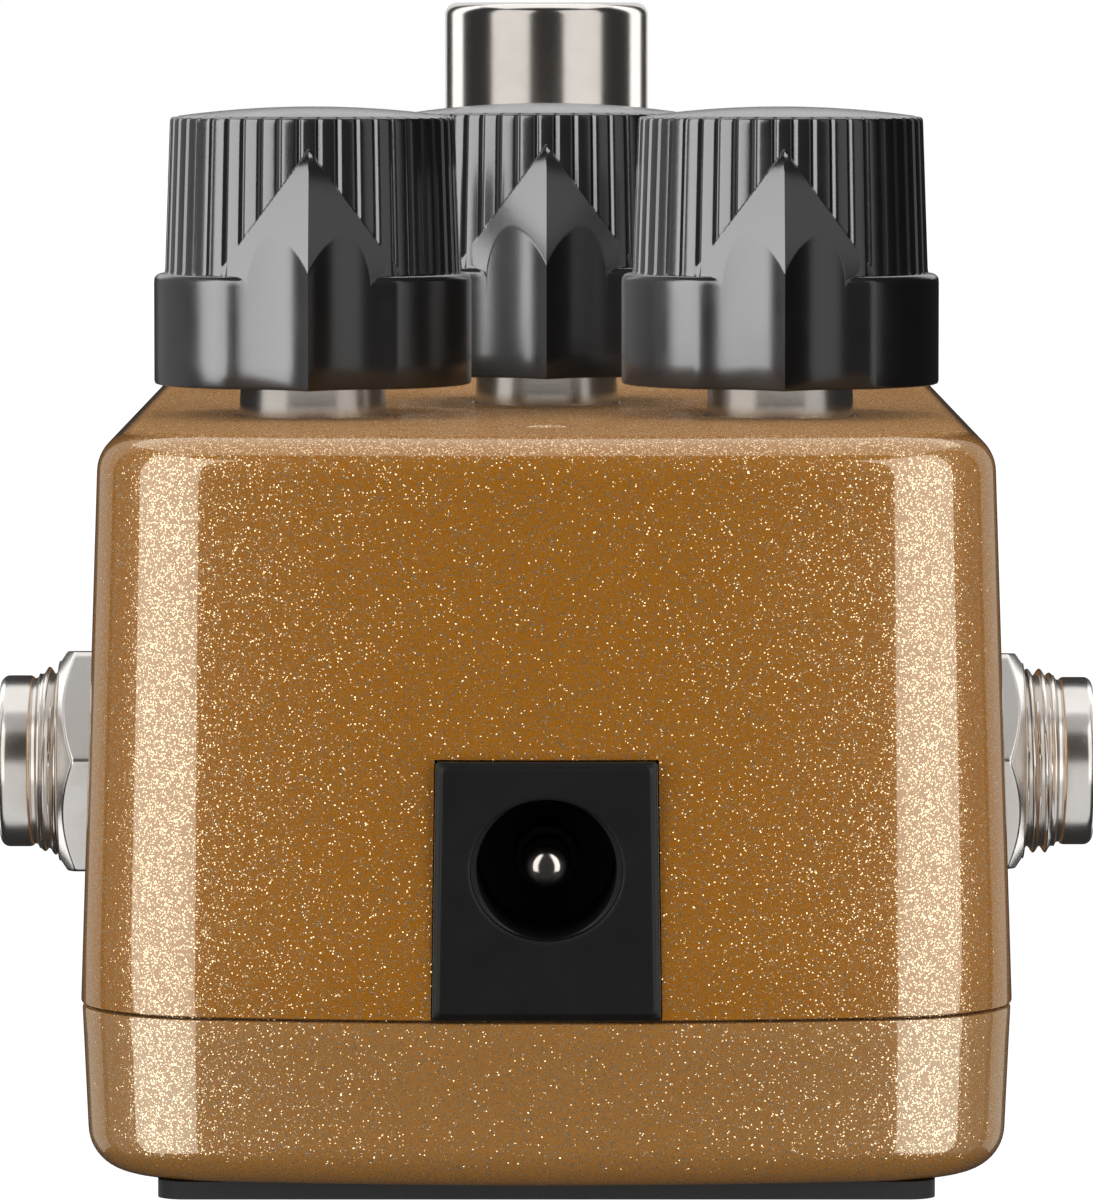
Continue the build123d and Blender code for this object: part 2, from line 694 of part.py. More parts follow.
with BuildPart() as dc_centre_pin:
    with BuildSketch(socket_front.offset(-socket_length)):
        with Locations((0, socket_axis_z)):
            Circle(1.0)
    extrude(amount=socket_length - 1.6)
    fillet(dc_centre_pin.edges().sort_by(Axis.Y)[0], 0.8)
dc_centre_pin.part.label = "dc_centre_pin"
export_step(dc_centre_pin.part, "parts/dc_centre_pin.step")

dc_leg_places = [
    (0, socket_face_y + socket_length - 1.2),
    (0, socket_face_y + 7.6),
    (3.4, socket_face_y + 10.0),
]
with BuildPart() as dc_legs:
    with BuildSketch(Plane.XY.offset(main_board_z - 1.0)):
        with Locations(*dc_leg_places):
            Rectangle(2.0, 0.6)
    extrude(amount=board_thickness + 1.0)
dc_legs.part.label = "dc_legs"
export_step(dc_legs.part, "parts/dc_legs.step")

# ================================================================ status light
light_floor = Plane(origin=(0, light_y, 0))
light_base_z = 28.4
with BuildPart() as status_light:
    with BuildSketch(light_floor.offset(light_base_z)):
        Circle(1.75)
    extrude(amount=0.8)
    with BuildSketch(light_floor.offset(light_base_z)):
        Circle(light_radius)
    extrude(amount=33.25 - light_base_z)
    fillet(status_light.edges().group_by(Axis.Z)[-1], 1.3)
status_light.part.label = "status_light"
export_step(status_light.part, "parts/status_light.step")

light_leg_places = [(-1.27, light_y), (1.27, light_y)]
with BuildPart() as status_light_legs:
    with BuildSketch(Plane.XY.offset(control_board_z - 1.0)):
        with Locations(*light_leg_places):
            Rectangle(0.45, 0.45)
    extrude(amount=light_base_z - control_board_z + 1.0)
status_light_legs.part.label = "status_light_legs"
export_step(status_light_legs.part, "parts/status_light_legs.step")

# ================================================================ boards and what they carry
header_pin_places = [(i * pin_pitch, header_y) for i in (-3, -2, -1, 0, 1, 2, 3)]
with BuildPart() as main_board:
    with BuildSketch(Plane.XY.offset(main_board_z)):
        Rectangle(35.6, 86.0)
        with Locations(*screw_places):
            Circle(boss_radius + 0.7, mode=Mode.SUBTRACT)
        for x in (-1, 1):
            for y in (-1, 1):
                with Locations((x * (screw_x + 3.2), y * (screw_y + 3.4))):
                    Rectangle(7.6, 8.0, mode=Mode.SUBTRACT)
        with Locations(*jack_leg_places):
            Rectangle(1.5, 0.8, mode=Mode.SUBTRACT)
        with Locations(*dc_leg_places):
            Rectangle(2.3, 0.9, mode=Mode.SUBTRACT)
        with Locations(*header_pin_places, *switch_pin_places):
            Circle(0.5, mode=Mode.SUBTRACT)
    extrude(amount=board_thickness)
main_board.part.label = "main_board"
export_step(main_board.part, "parts/main_board.step")

with BuildPart() as control_board:
    with BuildSketch(Plane.XY.offset(control_board_z)):
        with BuildLine():
            Polyline(
                (-17.0, -1.4),
                (-17.0, -33.6),
                (-10.2, -33.6),
                (-10.2, -41.2),
                (10.2, -41.2),
                (10.2, -33.6),
                (17.0, -33.6),
                (17.0, -1.4),
                close=True,
            )
        make_face()
        with Locations(*pot_leg_places):
            Rectangle(1.2, 0.7, mode=Mode.SUBTRACT)
        with Locations(*light_leg_places):
            Circle(0.45, mode=Mode.SUBTRACT)
        with Locations(*header_pin_places):
            Circle(0.5, mode=Mode.SUBTRACT)
        with Locations(*control_screw_places):
            Circle(1.35, mode=Mode.SUBTRACT)
    extrude(amount=board_thickness)
control_board.part.label = "control_board"
export_step(control_board.part, "parts/control_board.step")

with BuildPart() as control_board_screws:
    with BuildSketch(Plane.XY.offset(control_board_z - 1.4)):
        with Locations(*control_screw_places):
            Circle(2.1)
    extrude(amount=1.4)
    with BuildSketch(Plane.XY.offset(control_board_z)):
        with Locations(*control_screw_places):
            Circle(1.17)
    extrude(amount=5.6)
control_board_screws.part.label = "control_board_screws"
export_step(control_board_screws.part, "parts/control_board_screws.step")

with BuildPart() as board_headers:
    with BuildSketch(Plane.XY.offset(seam_z)):
        with Locations((0, header_y)):
            Rectangle(7 * pin_pitch, 2.5)
        with Locations(*header_pin_places):
            Circle(0.5, mode=Mode.SUBTRACT)
    extrude(amount=2.5)
    with BuildSketch(Plane.XY.offset(control_board_z - 2.5)):
        with Locations((0, header_y)):
            Rectangle(7 * pin_pitch, 2.5)
        with Locations(*header_pin_places):
            Circle(0.5, mode=Mode.SUBTRACT)
    extrude(amount=2.5)
    with BuildSketch(Plane.XY.offset(seam_z)):
        with Locations((0, switch_header_y)):
            Rectangle(5 * pin_pitch, 2.5)
        with Locations(*switch_pin_places):
            Circle(0.5, mode=Mode.SUBTRACT)
    extrude(amount=switch_board_z - seam_z)
board_headers.part.label = "board_headers"
export_step(board_headers.part, "parts/board_headers.step")

with BuildPart() as header_pins:
    with BuildSketch(Plane.XY.offset(main_board_z - 1.2)):
        with Locations(*header_pin_places):
            Rectangle(pin_width, pin_width)
    extrude(amount=control_board_top_z + 1.0 - main_board_z + 1.2)
    with BuildSketch(Plane.XY.offset(main_board_z - 1.2)):
        with Locations(*switch_pin_places):
            Rectangle(pin_width, pin_width)
    extrude(amount=switch_board_z + board_thickness + 0.8 - main_board_z + 1.2)
header_pins.part.label = "header_pins"
export_step(header_pins.part, "parts/header_pins.step")

chip_places = [(-9.5, 5.0), (0, 5.5), (9.5, 5.0)]
with BuildPart() as chips:
    with BuildSketch(Plane.XY.offset(seam_z)):
        with Locations(*chip_places):
            Rectangle(6.0, 4.9)
    extrude(amount=1.7)
    chamfer(chips.edges().group_by(Axis.Z)[-1], 0.2)
chips.part.label = "chips"
export_step(chips.part, "parts/chips.step")

capacitor_places = [(-9.4, -32.4), (9.4, -32.4), (-13.4, 14.0), (13.4, 14.0)]
with BuildPart() as capacitors:
    with BuildSketch(Plane.XY.offset(seam_z)):
        with Locations(*capacitor_places):
            Circle(2.5)
    extrude(amount=7.0)
    fillet(capacitors.edges().group_by(Axis.Z)[-1], 0.4)
capacitors.part.label = "capacitors"
export_step(capacitors.part, "parts/capacitors.step")

resistor_places = [(x, y) for x in (-14.0, -10.5, -4.5, 4.5, 10.5, 14.0) for y in (0.0, 10.0)]
with BuildPart() as resistors:
    with BuildSketch(Plane.XY.offset(seam_z)):
        with Locations(*resistor_places):
            Rectangle(2.0, 1.25)
    extrude(amount=0.55)
resistors.part.label = "resistors"
export_step(resistors.part, "parts/resistors.step")
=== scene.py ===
import json
from math import atan2, cos, pi, radians, sin, sqrt, tan

import bmesh
import bpy
import numpy as np
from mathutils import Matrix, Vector


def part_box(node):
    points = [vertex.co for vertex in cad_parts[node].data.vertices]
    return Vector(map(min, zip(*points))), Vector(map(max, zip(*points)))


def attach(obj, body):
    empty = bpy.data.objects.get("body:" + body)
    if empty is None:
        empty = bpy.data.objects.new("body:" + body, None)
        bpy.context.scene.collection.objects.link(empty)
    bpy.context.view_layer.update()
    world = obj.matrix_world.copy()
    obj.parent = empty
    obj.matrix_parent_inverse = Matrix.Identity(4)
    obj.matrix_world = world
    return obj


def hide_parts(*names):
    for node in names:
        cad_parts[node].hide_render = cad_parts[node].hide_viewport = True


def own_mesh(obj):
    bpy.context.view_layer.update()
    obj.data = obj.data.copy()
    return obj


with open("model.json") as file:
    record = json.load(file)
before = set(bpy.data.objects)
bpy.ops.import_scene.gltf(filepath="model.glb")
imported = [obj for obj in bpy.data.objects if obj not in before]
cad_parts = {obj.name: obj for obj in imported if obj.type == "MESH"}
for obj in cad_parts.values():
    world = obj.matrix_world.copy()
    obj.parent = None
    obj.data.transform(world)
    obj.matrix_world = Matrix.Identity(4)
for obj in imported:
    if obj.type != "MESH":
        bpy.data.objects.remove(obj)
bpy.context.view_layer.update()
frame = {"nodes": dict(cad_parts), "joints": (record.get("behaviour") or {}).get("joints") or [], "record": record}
MM = 0.001

# ---------------------------------------------------------------- places, read from the frame
mounts = {m["name"]: m for m in frame["record"]["mounts"]}
joints = {j["name"]: j for j in frame["joints"]}


def node_box(node):
    """Lowest and highest corner of a CAD node, in millimetres."""
    low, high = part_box(node)
    return np.array(low) / MM, np.array(high) / MM


upper_low, upper_high = node_box("upper_casing")
lower_low, lower_high = node_box("lower_casing")
half_width = upper_high[0]
half_length = upper_high[1]
seam_z = upper_low[2]
panel_z = upper_high[2]
mat_z = lower_low[2]
END_RADIUS = 80.0
CORNER_RADIUS = 7.0
WALL = 2.2
UPPER_DRAFT = radians(1.9)
LOWER_DRAFT = radians(2.6)
TOP_EDGE = 1.9
BASE_EDGE = 2.0
SEAM_GAP = 0.12
SEAM_DEPTH = 0.7
LOWER_STEP = 0.06

knob_places = {
    side: np.array(joints[f"{side}_knob_turn"]["pos_m"][:2]) / MM
    for side in ("left", "right", "middle")
}
switch_low, switch_high = node_box("footswitch_button")
switch_place = (switch_low[:2] + switch_high[:2]) / 2
light_low, light_high = node_box("status_light")
light_place = (light_low[:2] + light_high[:2]) / 2
jack_places = {
    side: np.array(mounts[f"{side}_jack"]["pos_m"]) / MM for side in ("left", "right")
}
jack_sides = {"left": -1, "right": 1}
socket_place = np.array(mounts["power_socket"]["pos_m"]) / MM


# ---------------------------------------------------------------- meshes
def ring_band(rows, columns, closed_rows=False):
    """Quads between neighbouring rings of a grid, each ring joined end to end; row by row, the outside
    is on the side where the way round a ring, crossed with the way to the next ring, points."""
    count = rows if closed_rows else rows - 1
    row = np.arange(count)[:, None]
    column = np.arange(columns)[None, :]
    after = (column + 1) % columns
    here = row * columns
    there = ((row + 1) % rows) * columns
    quads = np.stack((here + column, here + after, there + after, there + column), axis=-1)
    return quads.reshape(-1, 4)


def new_object(name, points, faces):
    """A mesh object at the origin, from points in millimetres."""
    mesh = bpy.data.meshes.new(name)
    mesh.from_pydata((np.asarray(points) * MM).tolist(), [], faces)
    mesh.validate()
    piece = bpy.data.objects.new(name, mesh)
    bpy.context.scene.collection.objects.link(piece)
    return piece


def ring_piece(name, rings, closed_rows=False):
    """Skin over rings of points (rows, columns, xyz). An open run of rings is closed with a flat cap,
    or with a fan to one point where the ring has shrunk to it."""
    rows, columns, _ = rings.shape
    faces = ring_band(rows, columns, closed_rows).tolist()
    points = rings.reshape(-1, 3)
    if not closed_rows:
        for row, turn in ((0, -1), (rows - 1, 1)):
            ring = row * columns + np.arange(columns)
            if np.ptp(rings[row], axis=0).max() < 1e-6:
                pole = ring[0]
                remap = {int(i): int(pole) for i in ring}
                faces = [
                    tuple(dict.fromkeys(remap.get(i, i) for i in face)) for face in faces
                ]
            else:
                faces.append(ring[::turn].tolist())
    piece = new_object(name, points, faces)
    drop_loose(piece.data)
    return piece


def drop_loose(mesh):
    """Takes out points that no face uses."""
    used = np.zeros(len(mesh.vertices), bool)
    index = np.zeros(len(mesh.loops), np.int32)
    mesh.loops.foreach_get("vertex_index", index)
    used[index] = True
    if used.all():
        return
    work = bmesh.new()
    work.from_mesh(mesh)
    bmesh.ops.delete(work, geom=[v for v in work.verts if not v.link_faces], context="VERTS")
    work.to_mesh(mesh)
    work.free()


def frame_of(axis):
    """Two directions square to an axis, so that first x second = axis."""
    axis = np.array(axis, float)
    helper = np.array((0.0, 0.0, 1.0)) if abs(axis[2]) < 0.5 else np.array((1.0, 0.0, 0.0))
    first = np.cross(helper, axis)
    first /= np.linalg.norm(first)
    return first, np.cross(axis, first)


def around(radius, height, centre, axis=(0, 0, 1), angles=None):
    """Points at a radius and a height along an axis: centre + height * axis + radius * (cos a, sin a)."""
    first, second = frame_of(axis)
    radius = np.asarray(radius, float)
    height = np.asarray(height, float)
    angle = angles if angles is not None else np.linspace(0, 2 * pi, radius.shape[-1], endpoint=False)
    flat = radius[..., None] * (np.cos(angle)[..., None] * first + np.sin(angle)[..., None] * second)
    return np.asarray(centre, float) + flat + height[..., None] * np.array(axis, float)


def turned(name, profile, centre, axis=(0, 0, 1), columns=96, closed=False):
    """A profile of (radius, height) points carried round an axis."""
    profile = np.array(profile, float)
    radius = np.repeat(profile[:, :1], columns, axis=1)
    height = np.repeat(profile[:, 1:], columns, axis=1)
    return ring_piece(name, around(radius, height, centre, axis), closed)


def arc(centre, radius, start, end, steps):
    """Points on a circle in the profile's plane, from one angle to another in degrees."""
    angle = np.radians(np.linspace(start, end, steps))
    return list(zip(centre[0] + radius * np.cos(angle), centre[1] + radius * np.sin(angle)))


def finish_mesh(piece, sharp_degrees=35):
    """Smooth shading, with creases where faces meet at more than an angle."""
    piece.data.shade_smooth()
    piece.data.set_sharp_from_angle(angle=radians(sharp_degrees))


def cut(piece, others, operation="DIFFERENCE"):
    """One exact Boolean with the other pieces joined, put into the mesh, which are then removed."""
    if len(others) > 1:
        with bpy.context.temp_override(
            active_object=others[0], selected_editable_objects=others, selected_objects=others
        ):
            bpy.ops.object.join()
    tool = others[0]
    modifier = piece.modifiers.new("cut", "BOOLEAN")
    modifier.operation = operation
    modifier.solver = "EXACT"
    modifier.object = tool
    bpy.context.view_layer.update()
    solid = piece.evaluated_get(bpy.context.evaluated_depsgraph_get())
    mesh = bpy.data.meshes.new_from_object(solid)
    piece.modifiers.clear()
    piece.data = mesh
    mesh.name = piece.name
    bpy.data.objects.remove(tool)


def place(piece, body, slot, material, *nodes):
    """Gives a piece its material, its body and the CAD nodes that it stands for."""
    piece.data.materials.clear()
    piece.data.materials.append(material)
    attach(piece, body)
    if nodes:
        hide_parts(*nodes)


# ---------------------------------------------------------------- materials
class Value:
    """A socket in a material. Sums on it add Math nodes, so a formula can be written as one."""

    def __init__(self, finish, socket):
        self.finish = finish
        self.socket = socket

    def sum(self, operation, *values):
        return self.finish.node("ShaderNodeMath", {"operation": operation}, dict(enumerate(values)))

    def __add__(self, other):
        return self.sum("ADD", self, other)

    def __sub__(self, other):
        return self.sum("SUBTRACT", self, other)

    def __rsub__(self, other):
        return self.sum("SUBTRACT", other, self)

    def __mul__(self, other):
        return self.sum("MULTIPLY", self, other)

    def __gt__(self, other):
        return self.sum("GREATER_THAN", self, other)

    def __lt__(self, other):
        return self.sum("LESS_THAN", self, other)

    __radd__ = __add__
    __rmul__ = __mul__


class Finish:
    """A material under construction, with its shader."""

    def __init__(self, name, **constants):
        self.material = bpy.data.materials.new(name)
        self.material.use_nodes = True
        self.nodes = self.material.node_tree.nodes
        self.nodes.clear()
        self.shader = self.nodes.new("ShaderNodeBsdfPrincipled")
        output = self.nodes.new("ShaderNodeOutputMaterial")
        self.material.node_tree.links.new(self.shader.outputs[0], output.inputs["Surface"])
        coordinates = self.nodes.new("ShaderNodeTexCoord")
        self.place = Value(self, coordinates.outputs["Object"])
        for name, value in constants.items():
            self.feed(name.replace("_", " ").title().replace("Ior", "IOR"), value)

    def feed(self, name, value):
        """Puts a number, a colour or a value into one of the shader's sockets."""
        self.plug(self.shader.inputs[name], value)

    def plug(self, socket, value):
        if isinstance(value, Value):
            self.material.node_tree.links.new(value.socket, socket)
        elif isinstance(value, (tuple, list)) and socket.type == "RGBA" and len(value) == 3:
            socket.default_value = (*value, 1.0)
        else:
            socket.default_value = value

    def node(self, kind, settings=None, inputs=None, output=None):
        """Any node: its settings first, then the values or links of its sockets."""
        node = self.nodes.new(kind)
        for name, value in (settings or {}).items():
            if name == "stops":
                ramp = node.color_ramp
                while len(ramp.elements) < len(value):
                    ramp.elements.new(0.5)
                for element, (position, colour) in zip(ramp.elements, value):
                    element.position = position
                    element.color = (colour, colour, colour, 1) if isinstance(colour, float) else (*colour, 1)
            else:
                setattr(node, name, value)
        for name, value in (inputs or {}).items():
            self.plug(node.inputs[name], value)
        if output is None:
            socket = next(s for s in node.outputs if s.enabled)
        else:
            socket = node.outputs[output]
        return Value(self, socket)

    def vector(self, operation, inputs):
        """Vector maths."""
        return self.node("ShaderNodeVectorMath", {"operation": operation}, inputs)

    def noise(self, size_mm, detail=2.0, roughness=0.5, place=None):
        """Soft noise with features of about one size, from 0 to 1."""
        inputs = {
            "Vector": place or self.place,
            "Scale": 1 / (size_mm * MM),
            "Detail": detail,
            "Roughness": roughness,
        }
        return self.node("ShaderNodeTexNoise", {}, inputs, "Fac")

    def ramp(self, value, stops):
        """A value turned into another by its stops, each a position and a grey or a colour."""
        return self.node("ShaderNodeValToRGB", {"stops": stops}, {"Fac": value}, "Color")

    def mix(self, amount, first, second):
        """One colour turning into another."""
        inputs = {0: amount, 6: first, 7: second}
        return self.node("ShaderNodeMix", {"data_type": "RGBA"}, inputs, 2)

    def bump(self, height, distance_mm, strength=1.0):
        """A normal from a height."""
        inputs = {"Height": height, "Distance": distance_mm * MM, "Strength": strength}
        return self.node("ShaderNodeBump", {}, inputs, "Normal")


FLAKE_SIZE = 0.05
GRAIN_SIZE = 0.06
FLAKE_TILT = 0.7
GRAIN_TILT = 0.1
CLOUD_SIZE = 2.4


def flake_paint(name, base, deep, flake, share):
    """Amber paint full of metal flakes, under clear lacquer that is thin on the flat top. A share of the
    Voronoi cells are bright flakes, each leaning its own way: the normal plus a random vector, scaled by
    the cube of a random number so that most lean little. The rest is warm base with a fine grain."""
    finish = Finish(name, coat_roughness=0.035, coat_ior=1.6, ior=1.5, specular_ior_level=0.35)
    cells = {"Vector": finish.place, "Scale": 1 / (FLAKE_SIZE * MM)}
    middle = finish.node("ShaderNodeTexVoronoi", {}, cells, "Position")
    tilt = finish.node("ShaderNodeTexWhiteNoise", {}, {"Vector": middle}, "Color")
    chance = {"Color": finish.node("ShaderNodeTexVoronoi", {}, cells, "Color")}
    is_flake = finish.node("ShaderNodeSeparateColor", {}, chance, "Red") > (1 - share)
    brightness = finish.node("ShaderNodeSeparateColor", {}, chance, "Green")
    grains = {"Vector": finish.place, "Scale": 1 / (GRAIN_SIZE * MM)}
    grain = {"Color": finish.node("ShaderNodeTexVoronoi", {}, grains, "Color")}
    fine = finish.node("ShaderNodeSeparateColor", {}, grain, "Red")
    cloud = finish.noise(CLOUD_SIZE, 3.0)
    ground = finish.mix(fine * 0.75 + cloud * 0.25, deep, base)
    dull = tuple(0.6 * c for c in flake)
    finish.feed("Base Color", finish.mix(is_flake, ground, finish.mix(brightness, dull, flake)))
    finish.feed("Metallic", is_flake * 0.86)
    outward = finish.node("ShaderNodeNewGeometry", {}, {}, "Normal")
    upward = finish.node("ShaderNodeSeparateXYZ", {}, {"Vector": outward}, "Z")
    finish.feed("Coat Weight", finish.ramp(upward, [(0.9, 1.0), (0.99, 0.04)]))
    finish.feed("Roughness", finish.ramp(upward, [(0.9, 0.3), (0.99, 0.8)]) - is_flake * 0.08)
    reach = is_flake * brightness * brightness * brightness * FLAKE_TILT + GRAIN_TILT
    centred = finish.vector("SUBTRACT", {0: tilt, 1: (0.5, 0.5, 0.5)})
    leaning = finish.vector("SCALE", {0: centred, "Scale": reach})
    leaned = finish.vector("ADD", {0: outward, 1: leaning})
    finish.feed("Normal", finish.vector("NORMALIZE", {0: leaned}))
    return finish.material


def plated_metal(name, colour, roughness, smudge, scratch, grain_mm=0.25):
    """Plated metal: fine uneven roughness from handling, hairline scratches and a little tarnish."""
    finish = Finish(name, metallic=1.0)
    smear = finish.noise(3.0, 4.0, 0.6)
    fine = finish.noise(grain_mm, 3.0, 0.6)
    tarnish = tuple(0.82 * c * w for c, w in zip(colour, (1.0, 0.97, 0.92)))
    stain = finish.ramp(smear, [(0.35, 0.0), (0.75, 1.0)]) * 0.5
    finish.feed("Base Color", finish.mix(stain, colour, tarnish))
    finish.feed("Roughness", smear * smudge + (fine * smudge * 0.5 + roughness))
    finish.feed("Normal", finish.bump(fine, 0.01, scratch))
    return finish.material


def moulded(name, colour, roughness, grain_mm, depth, vary=0.25, **constants):
    """Moulded plastic: spark-eroded grain in the surface, faint flow marks and dust in the colour."""
    finish = Finish(name, **constants)
    grain = finish.noise(grain_mm, 3.0, 0.6)
    flow = finish.noise(grain_mm * 14, 3.0)
    lighter = tuple(min(1.0, c * (1 + vary) + 0.004) for c in colour)
    darker = tuple(c * (1 - vary) for c in colour)
    finish.feed("Base Color", finish.mix(flow * 0.7 + grain * 0.3, darker, lighter))
    finish.feed("Roughness", grain * 0.08 + (flow * 0.08 + (roughness - 0.08)))
    finish.feed("Normal", finish.bump(grain, depth, 0.5))
    return finish.material


def board_laminate():
    """Green solder mask over copper tracks: a brick pattern of tracks, a weave under the mask."""
    finish = Finish("board_green", coat_weight=0.4, coat_roughness=0.15)
    tracks = finish.node(
        "ShaderNodeTexBrick",
        {},
        {
            "Vector": finish.place,
            "Scale": 1 / (4.0 * MM),
            "Mortar Size": 0.05,
            "Color1": (0.012, 0.085, 0.04, 1),
            "Color2": (0.01, 0.07, 0.035, 1),
            "Mortar": (0.03, 0.17, 0.07, 1),
        },
        "Color",
    )
    weave = finish.noise(0.4, 2.0)
    finish.feed("Base Color", finish.mix(weave * 0.4, tracks, (0.02, 0.11, 0.05)))
    finish.feed("Roughness", weave * 0.2 + 0.35)
    finish.feed("Normal", finish.bump(weave, 0.02, 0.4))
    return finish.material


def light_lens():
    """Tinted clear resin, a little cloudy inside."""
    finish = Finish("lens_resin", roughness=0.12, transmission_weight=0.6, ior=1.5)
    cloud = finish.noise(0.5, 2.0)
    finish.feed("Base Color", finish.mix(cloud, (0.02, 0.016, 0.014), (0.05, 0.035, 0.03)))
    finish.feed("Normal", finish.bump(cloud, 0.01, 0.3))
    return finish.material


upper_paint = flake_paint(
    "amber_flake", (0.215, 0.084, 0.004), (0.16, 0.06, 0.003), (0.72, 0.55, 0.38), 0.17
)
# the lower casing's copy of the paint is paler and less saturated: a painted reflection of the pale floor
lower_paint_with_painted_floor_reflection = flake_paint(
    "amber_flake_base", (0.215, 0.1, 0.026), (0.16, 0.074, 0.018), (0.72, 0.57, 0.42), 0.17
)
finishes = {
    "mat_rubber": moulded("mat_rubber", (0.012, 0.012, 0.0125), 0.75, 0.2, 0.05),
    "zinc_steel": plated_metal("zinc_steel", (0.6, 0.6, 0.62), 0.25, 0.2, 0.3),
    "button_chrome": plated_metal("button_chrome", (0.8, 0.76, 0.73), 0.12, 0.07, 0.05),
    "satin_nickel": plated_metal("satin_nickel", (0.72, 0.69, 0.66), 0.16, 0.1, 0.2),
    "knob_plastic": moulded(
        "knob_plastic", (0.008, 0.008, 0.0085), 0.22, 0.12, 0.006, ior=1.6, specular_ior_level=0.5
    ),
    "housing_plastic": moulded("housing_plastic", (0.02, 0.035, 0.09), 0.45, 0.2, 0.02),
    "socket_plastic": moulded("socket_plastic", (0.011, 0.011, 0.0115), 0.42, 0.13, 0.012),
    "tinned_brass": plated_metal("tinned_brass", (0.72, 0.69, 0.6), 0.3, 0.15, 0.3),
    "board_laminate": board_laminate(),
    "chip_epoxy": moulded("chip_epoxy", (0.02, 0.02, 0.021), 0.5, 0.1, 0.01),
    "capacitor_sleeve": moulded("capacitor_sleeve", (0.012, 0.016, 0.05), 0.25, 0.4, 0.01),
    "light_lens": light_lens(),
}


# ---------------------------------------------------------------- case
def outline(inset):
    """The case in plan, drawn in by an inset and going round anticlockwise: straight sides, corners
    about fixed centres, and ends bowed about fixed centres, so that each is a true offset."""
    corner_x = half_width - CORNER_RADIUS
    bow_y = half_length - END_RADIUS
    reach = END_RADIUS - CORNER_RADIUS
    corner_y = bow_y + sqrt(reach**2 - corner_x**2)
    lean = atan2(corner_y - bow_y, corner_x)
    side_y = np.array([0.0, 0.5, 0.9, 0.985]) * corner_y
    side = np.stack((np.full(4, half_width - inset), side_y), axis=-1)
    turn = np.linspace(0, lean, 27)
    corner = np.stack((corner_x + (CORNER_RADIUS - inset) * np.cos(turn),
                       corner_y + (CORNER_RADIUS - inset) * np.sin(turn)), axis=-1)
    bow_turn = lean + (pi / 2 - lean) * np.array([0.03, 0.12, 0.3, 0.5, 0.7, 0.86, 1.0])
    bow = np.stack(((END_RADIUS - inset) * np.cos(bow_turn),
                    bow_y + (END_RADIUS - inset) * np.sin(bow_turn)), axis=-1)
    quarter = np.concatenate((side, corner, bow))
    second = (quarter * (-1, 1))[::-1][1:-1]
    half = np.concatenate((quarter, second))
    lower_half = np.concatenate(([(-(half_width - inset), 0.0)], (half[1:] * (-1, -1))))
    return np.concatenate((half, lower_half))


def shell(name, steps):
    """A case half: the plan outline carried through (inset, height) steps."""
    rings = []
    for inset, height in steps:
        plan = outline(inset)
        rings.append(np.column_stack((plan, np.full(len(plan), height))))
    return ring_piece(name, np.array(rings))


def edge_steps(inset, height, radius, draft, up):
    """The rounded edge between a drafted wall and a flat, from the wall to the flat, in (inset, height):
    an arc whose centre is one radius in from both. inset is the wall's at the flat's height."""
    sign = 1 if up else -1
    centre_inset = inset - radius * tan(draft) + radius / cos(draft)
    angle = np.linspace(draft, pi / 2, 14)
    steps = [
        (centre_inset - radius * cos(a), height + sign * (radius * sin(a) - radius)) for a in angle
    ]
    return steps + [(centre_inset + 0.06, height)]


screw_low, screw_high = node_box("base_screws")
screw_reach = screw_high[:2] - 2.9
screw_places = [(x * screw_reach[0], y * screw_reach[1]) for x in (-1, 1) for y in (-1, 1)]
control_low, control_high = node_box("control_board_screws")
control_screws = [(x * (control_high[0] - 2.1), (control_low[1] + control_high[1]) / 2) for x in (-1, 1)]
control_top = node_box("control_board")[1][2]
ceiling = panel_z - WALL
rise = panel_z - seam_z
wall_top = rise * tan(UPPER_DRAFT)
upper_steps = [
    (WALL + (ceiling - seam_z) * tan(UPPER_DRAFT) + 0.06, ceiling),
    (WALL + (ceiling - seam_z) * tan(UPPER_DRAFT), ceiling),
    (WALL, seam_z),
    (0.1, seam_z),
    (0.03, seam_z + 0.03),
    (0.005, seam_z + 0.1),
    (3 * tan(UPPER_DRAFT), seam_z + 3),
    ((rise * 0.5) * tan(UPPER_DRAFT), seam_z + rise * 0.5),
    ((rise - TOP_EDGE - 0.4) * tan(UPPER_DRAFT), panel_z - TOP_EDGE - 0.4),
]
upper_steps += edge_steps(wall_top, panel_z, TOP_EDGE, UPPER_DRAFT, True)
upper_shell = shell("upper_shell", upper_steps)

light_hole = 1.05
light_flare = 0.27
collar_hole = 3.5
switch_hole = 6.05
tools = []
for x, y in knob_places.values():
    rim = arc((collar_hole + 0.1, panel_z - 0.1), 0.1, 180, 90, 5)
    tools.append(turned("hole", [(0, ceiling - 1), (collar_hole, ceiling - 1), *rim,
                                 (collar_hole + 0.1, panel_z + 1), (0, panel_z + 1)], (x, y, 0), columns=72))
tools.append(turned("hole", [(0, ceiling - 1), (switch_hole, ceiling - 1), (switch_hole, panel_z + 1),
                             (0, panel_z + 1)], (*switch_place, 0), columns=96))
LIGHT_POCKET = 1.62
pocket_top = ceiling + 1.35
flare = arc((light_hole + light_flare, panel_z - light_flare), light_flare, 180, 90, 9)
tools.append(turned("hole", [(0, ceiling - 1), (LIGHT_POCKET, ceiling - 1), (LIGHT_POCKET, pocket_top),
                             (light_hole, pocket_top), *flare,
                             (light_hole + light_flare, panel_z + 1), (0, panel_z + 1)],
                    (*light_place, 0), columns=72))
JACK_SEAT = 20.55
JACK_HOLE = 4.52
JACK_SPOT = 6.3
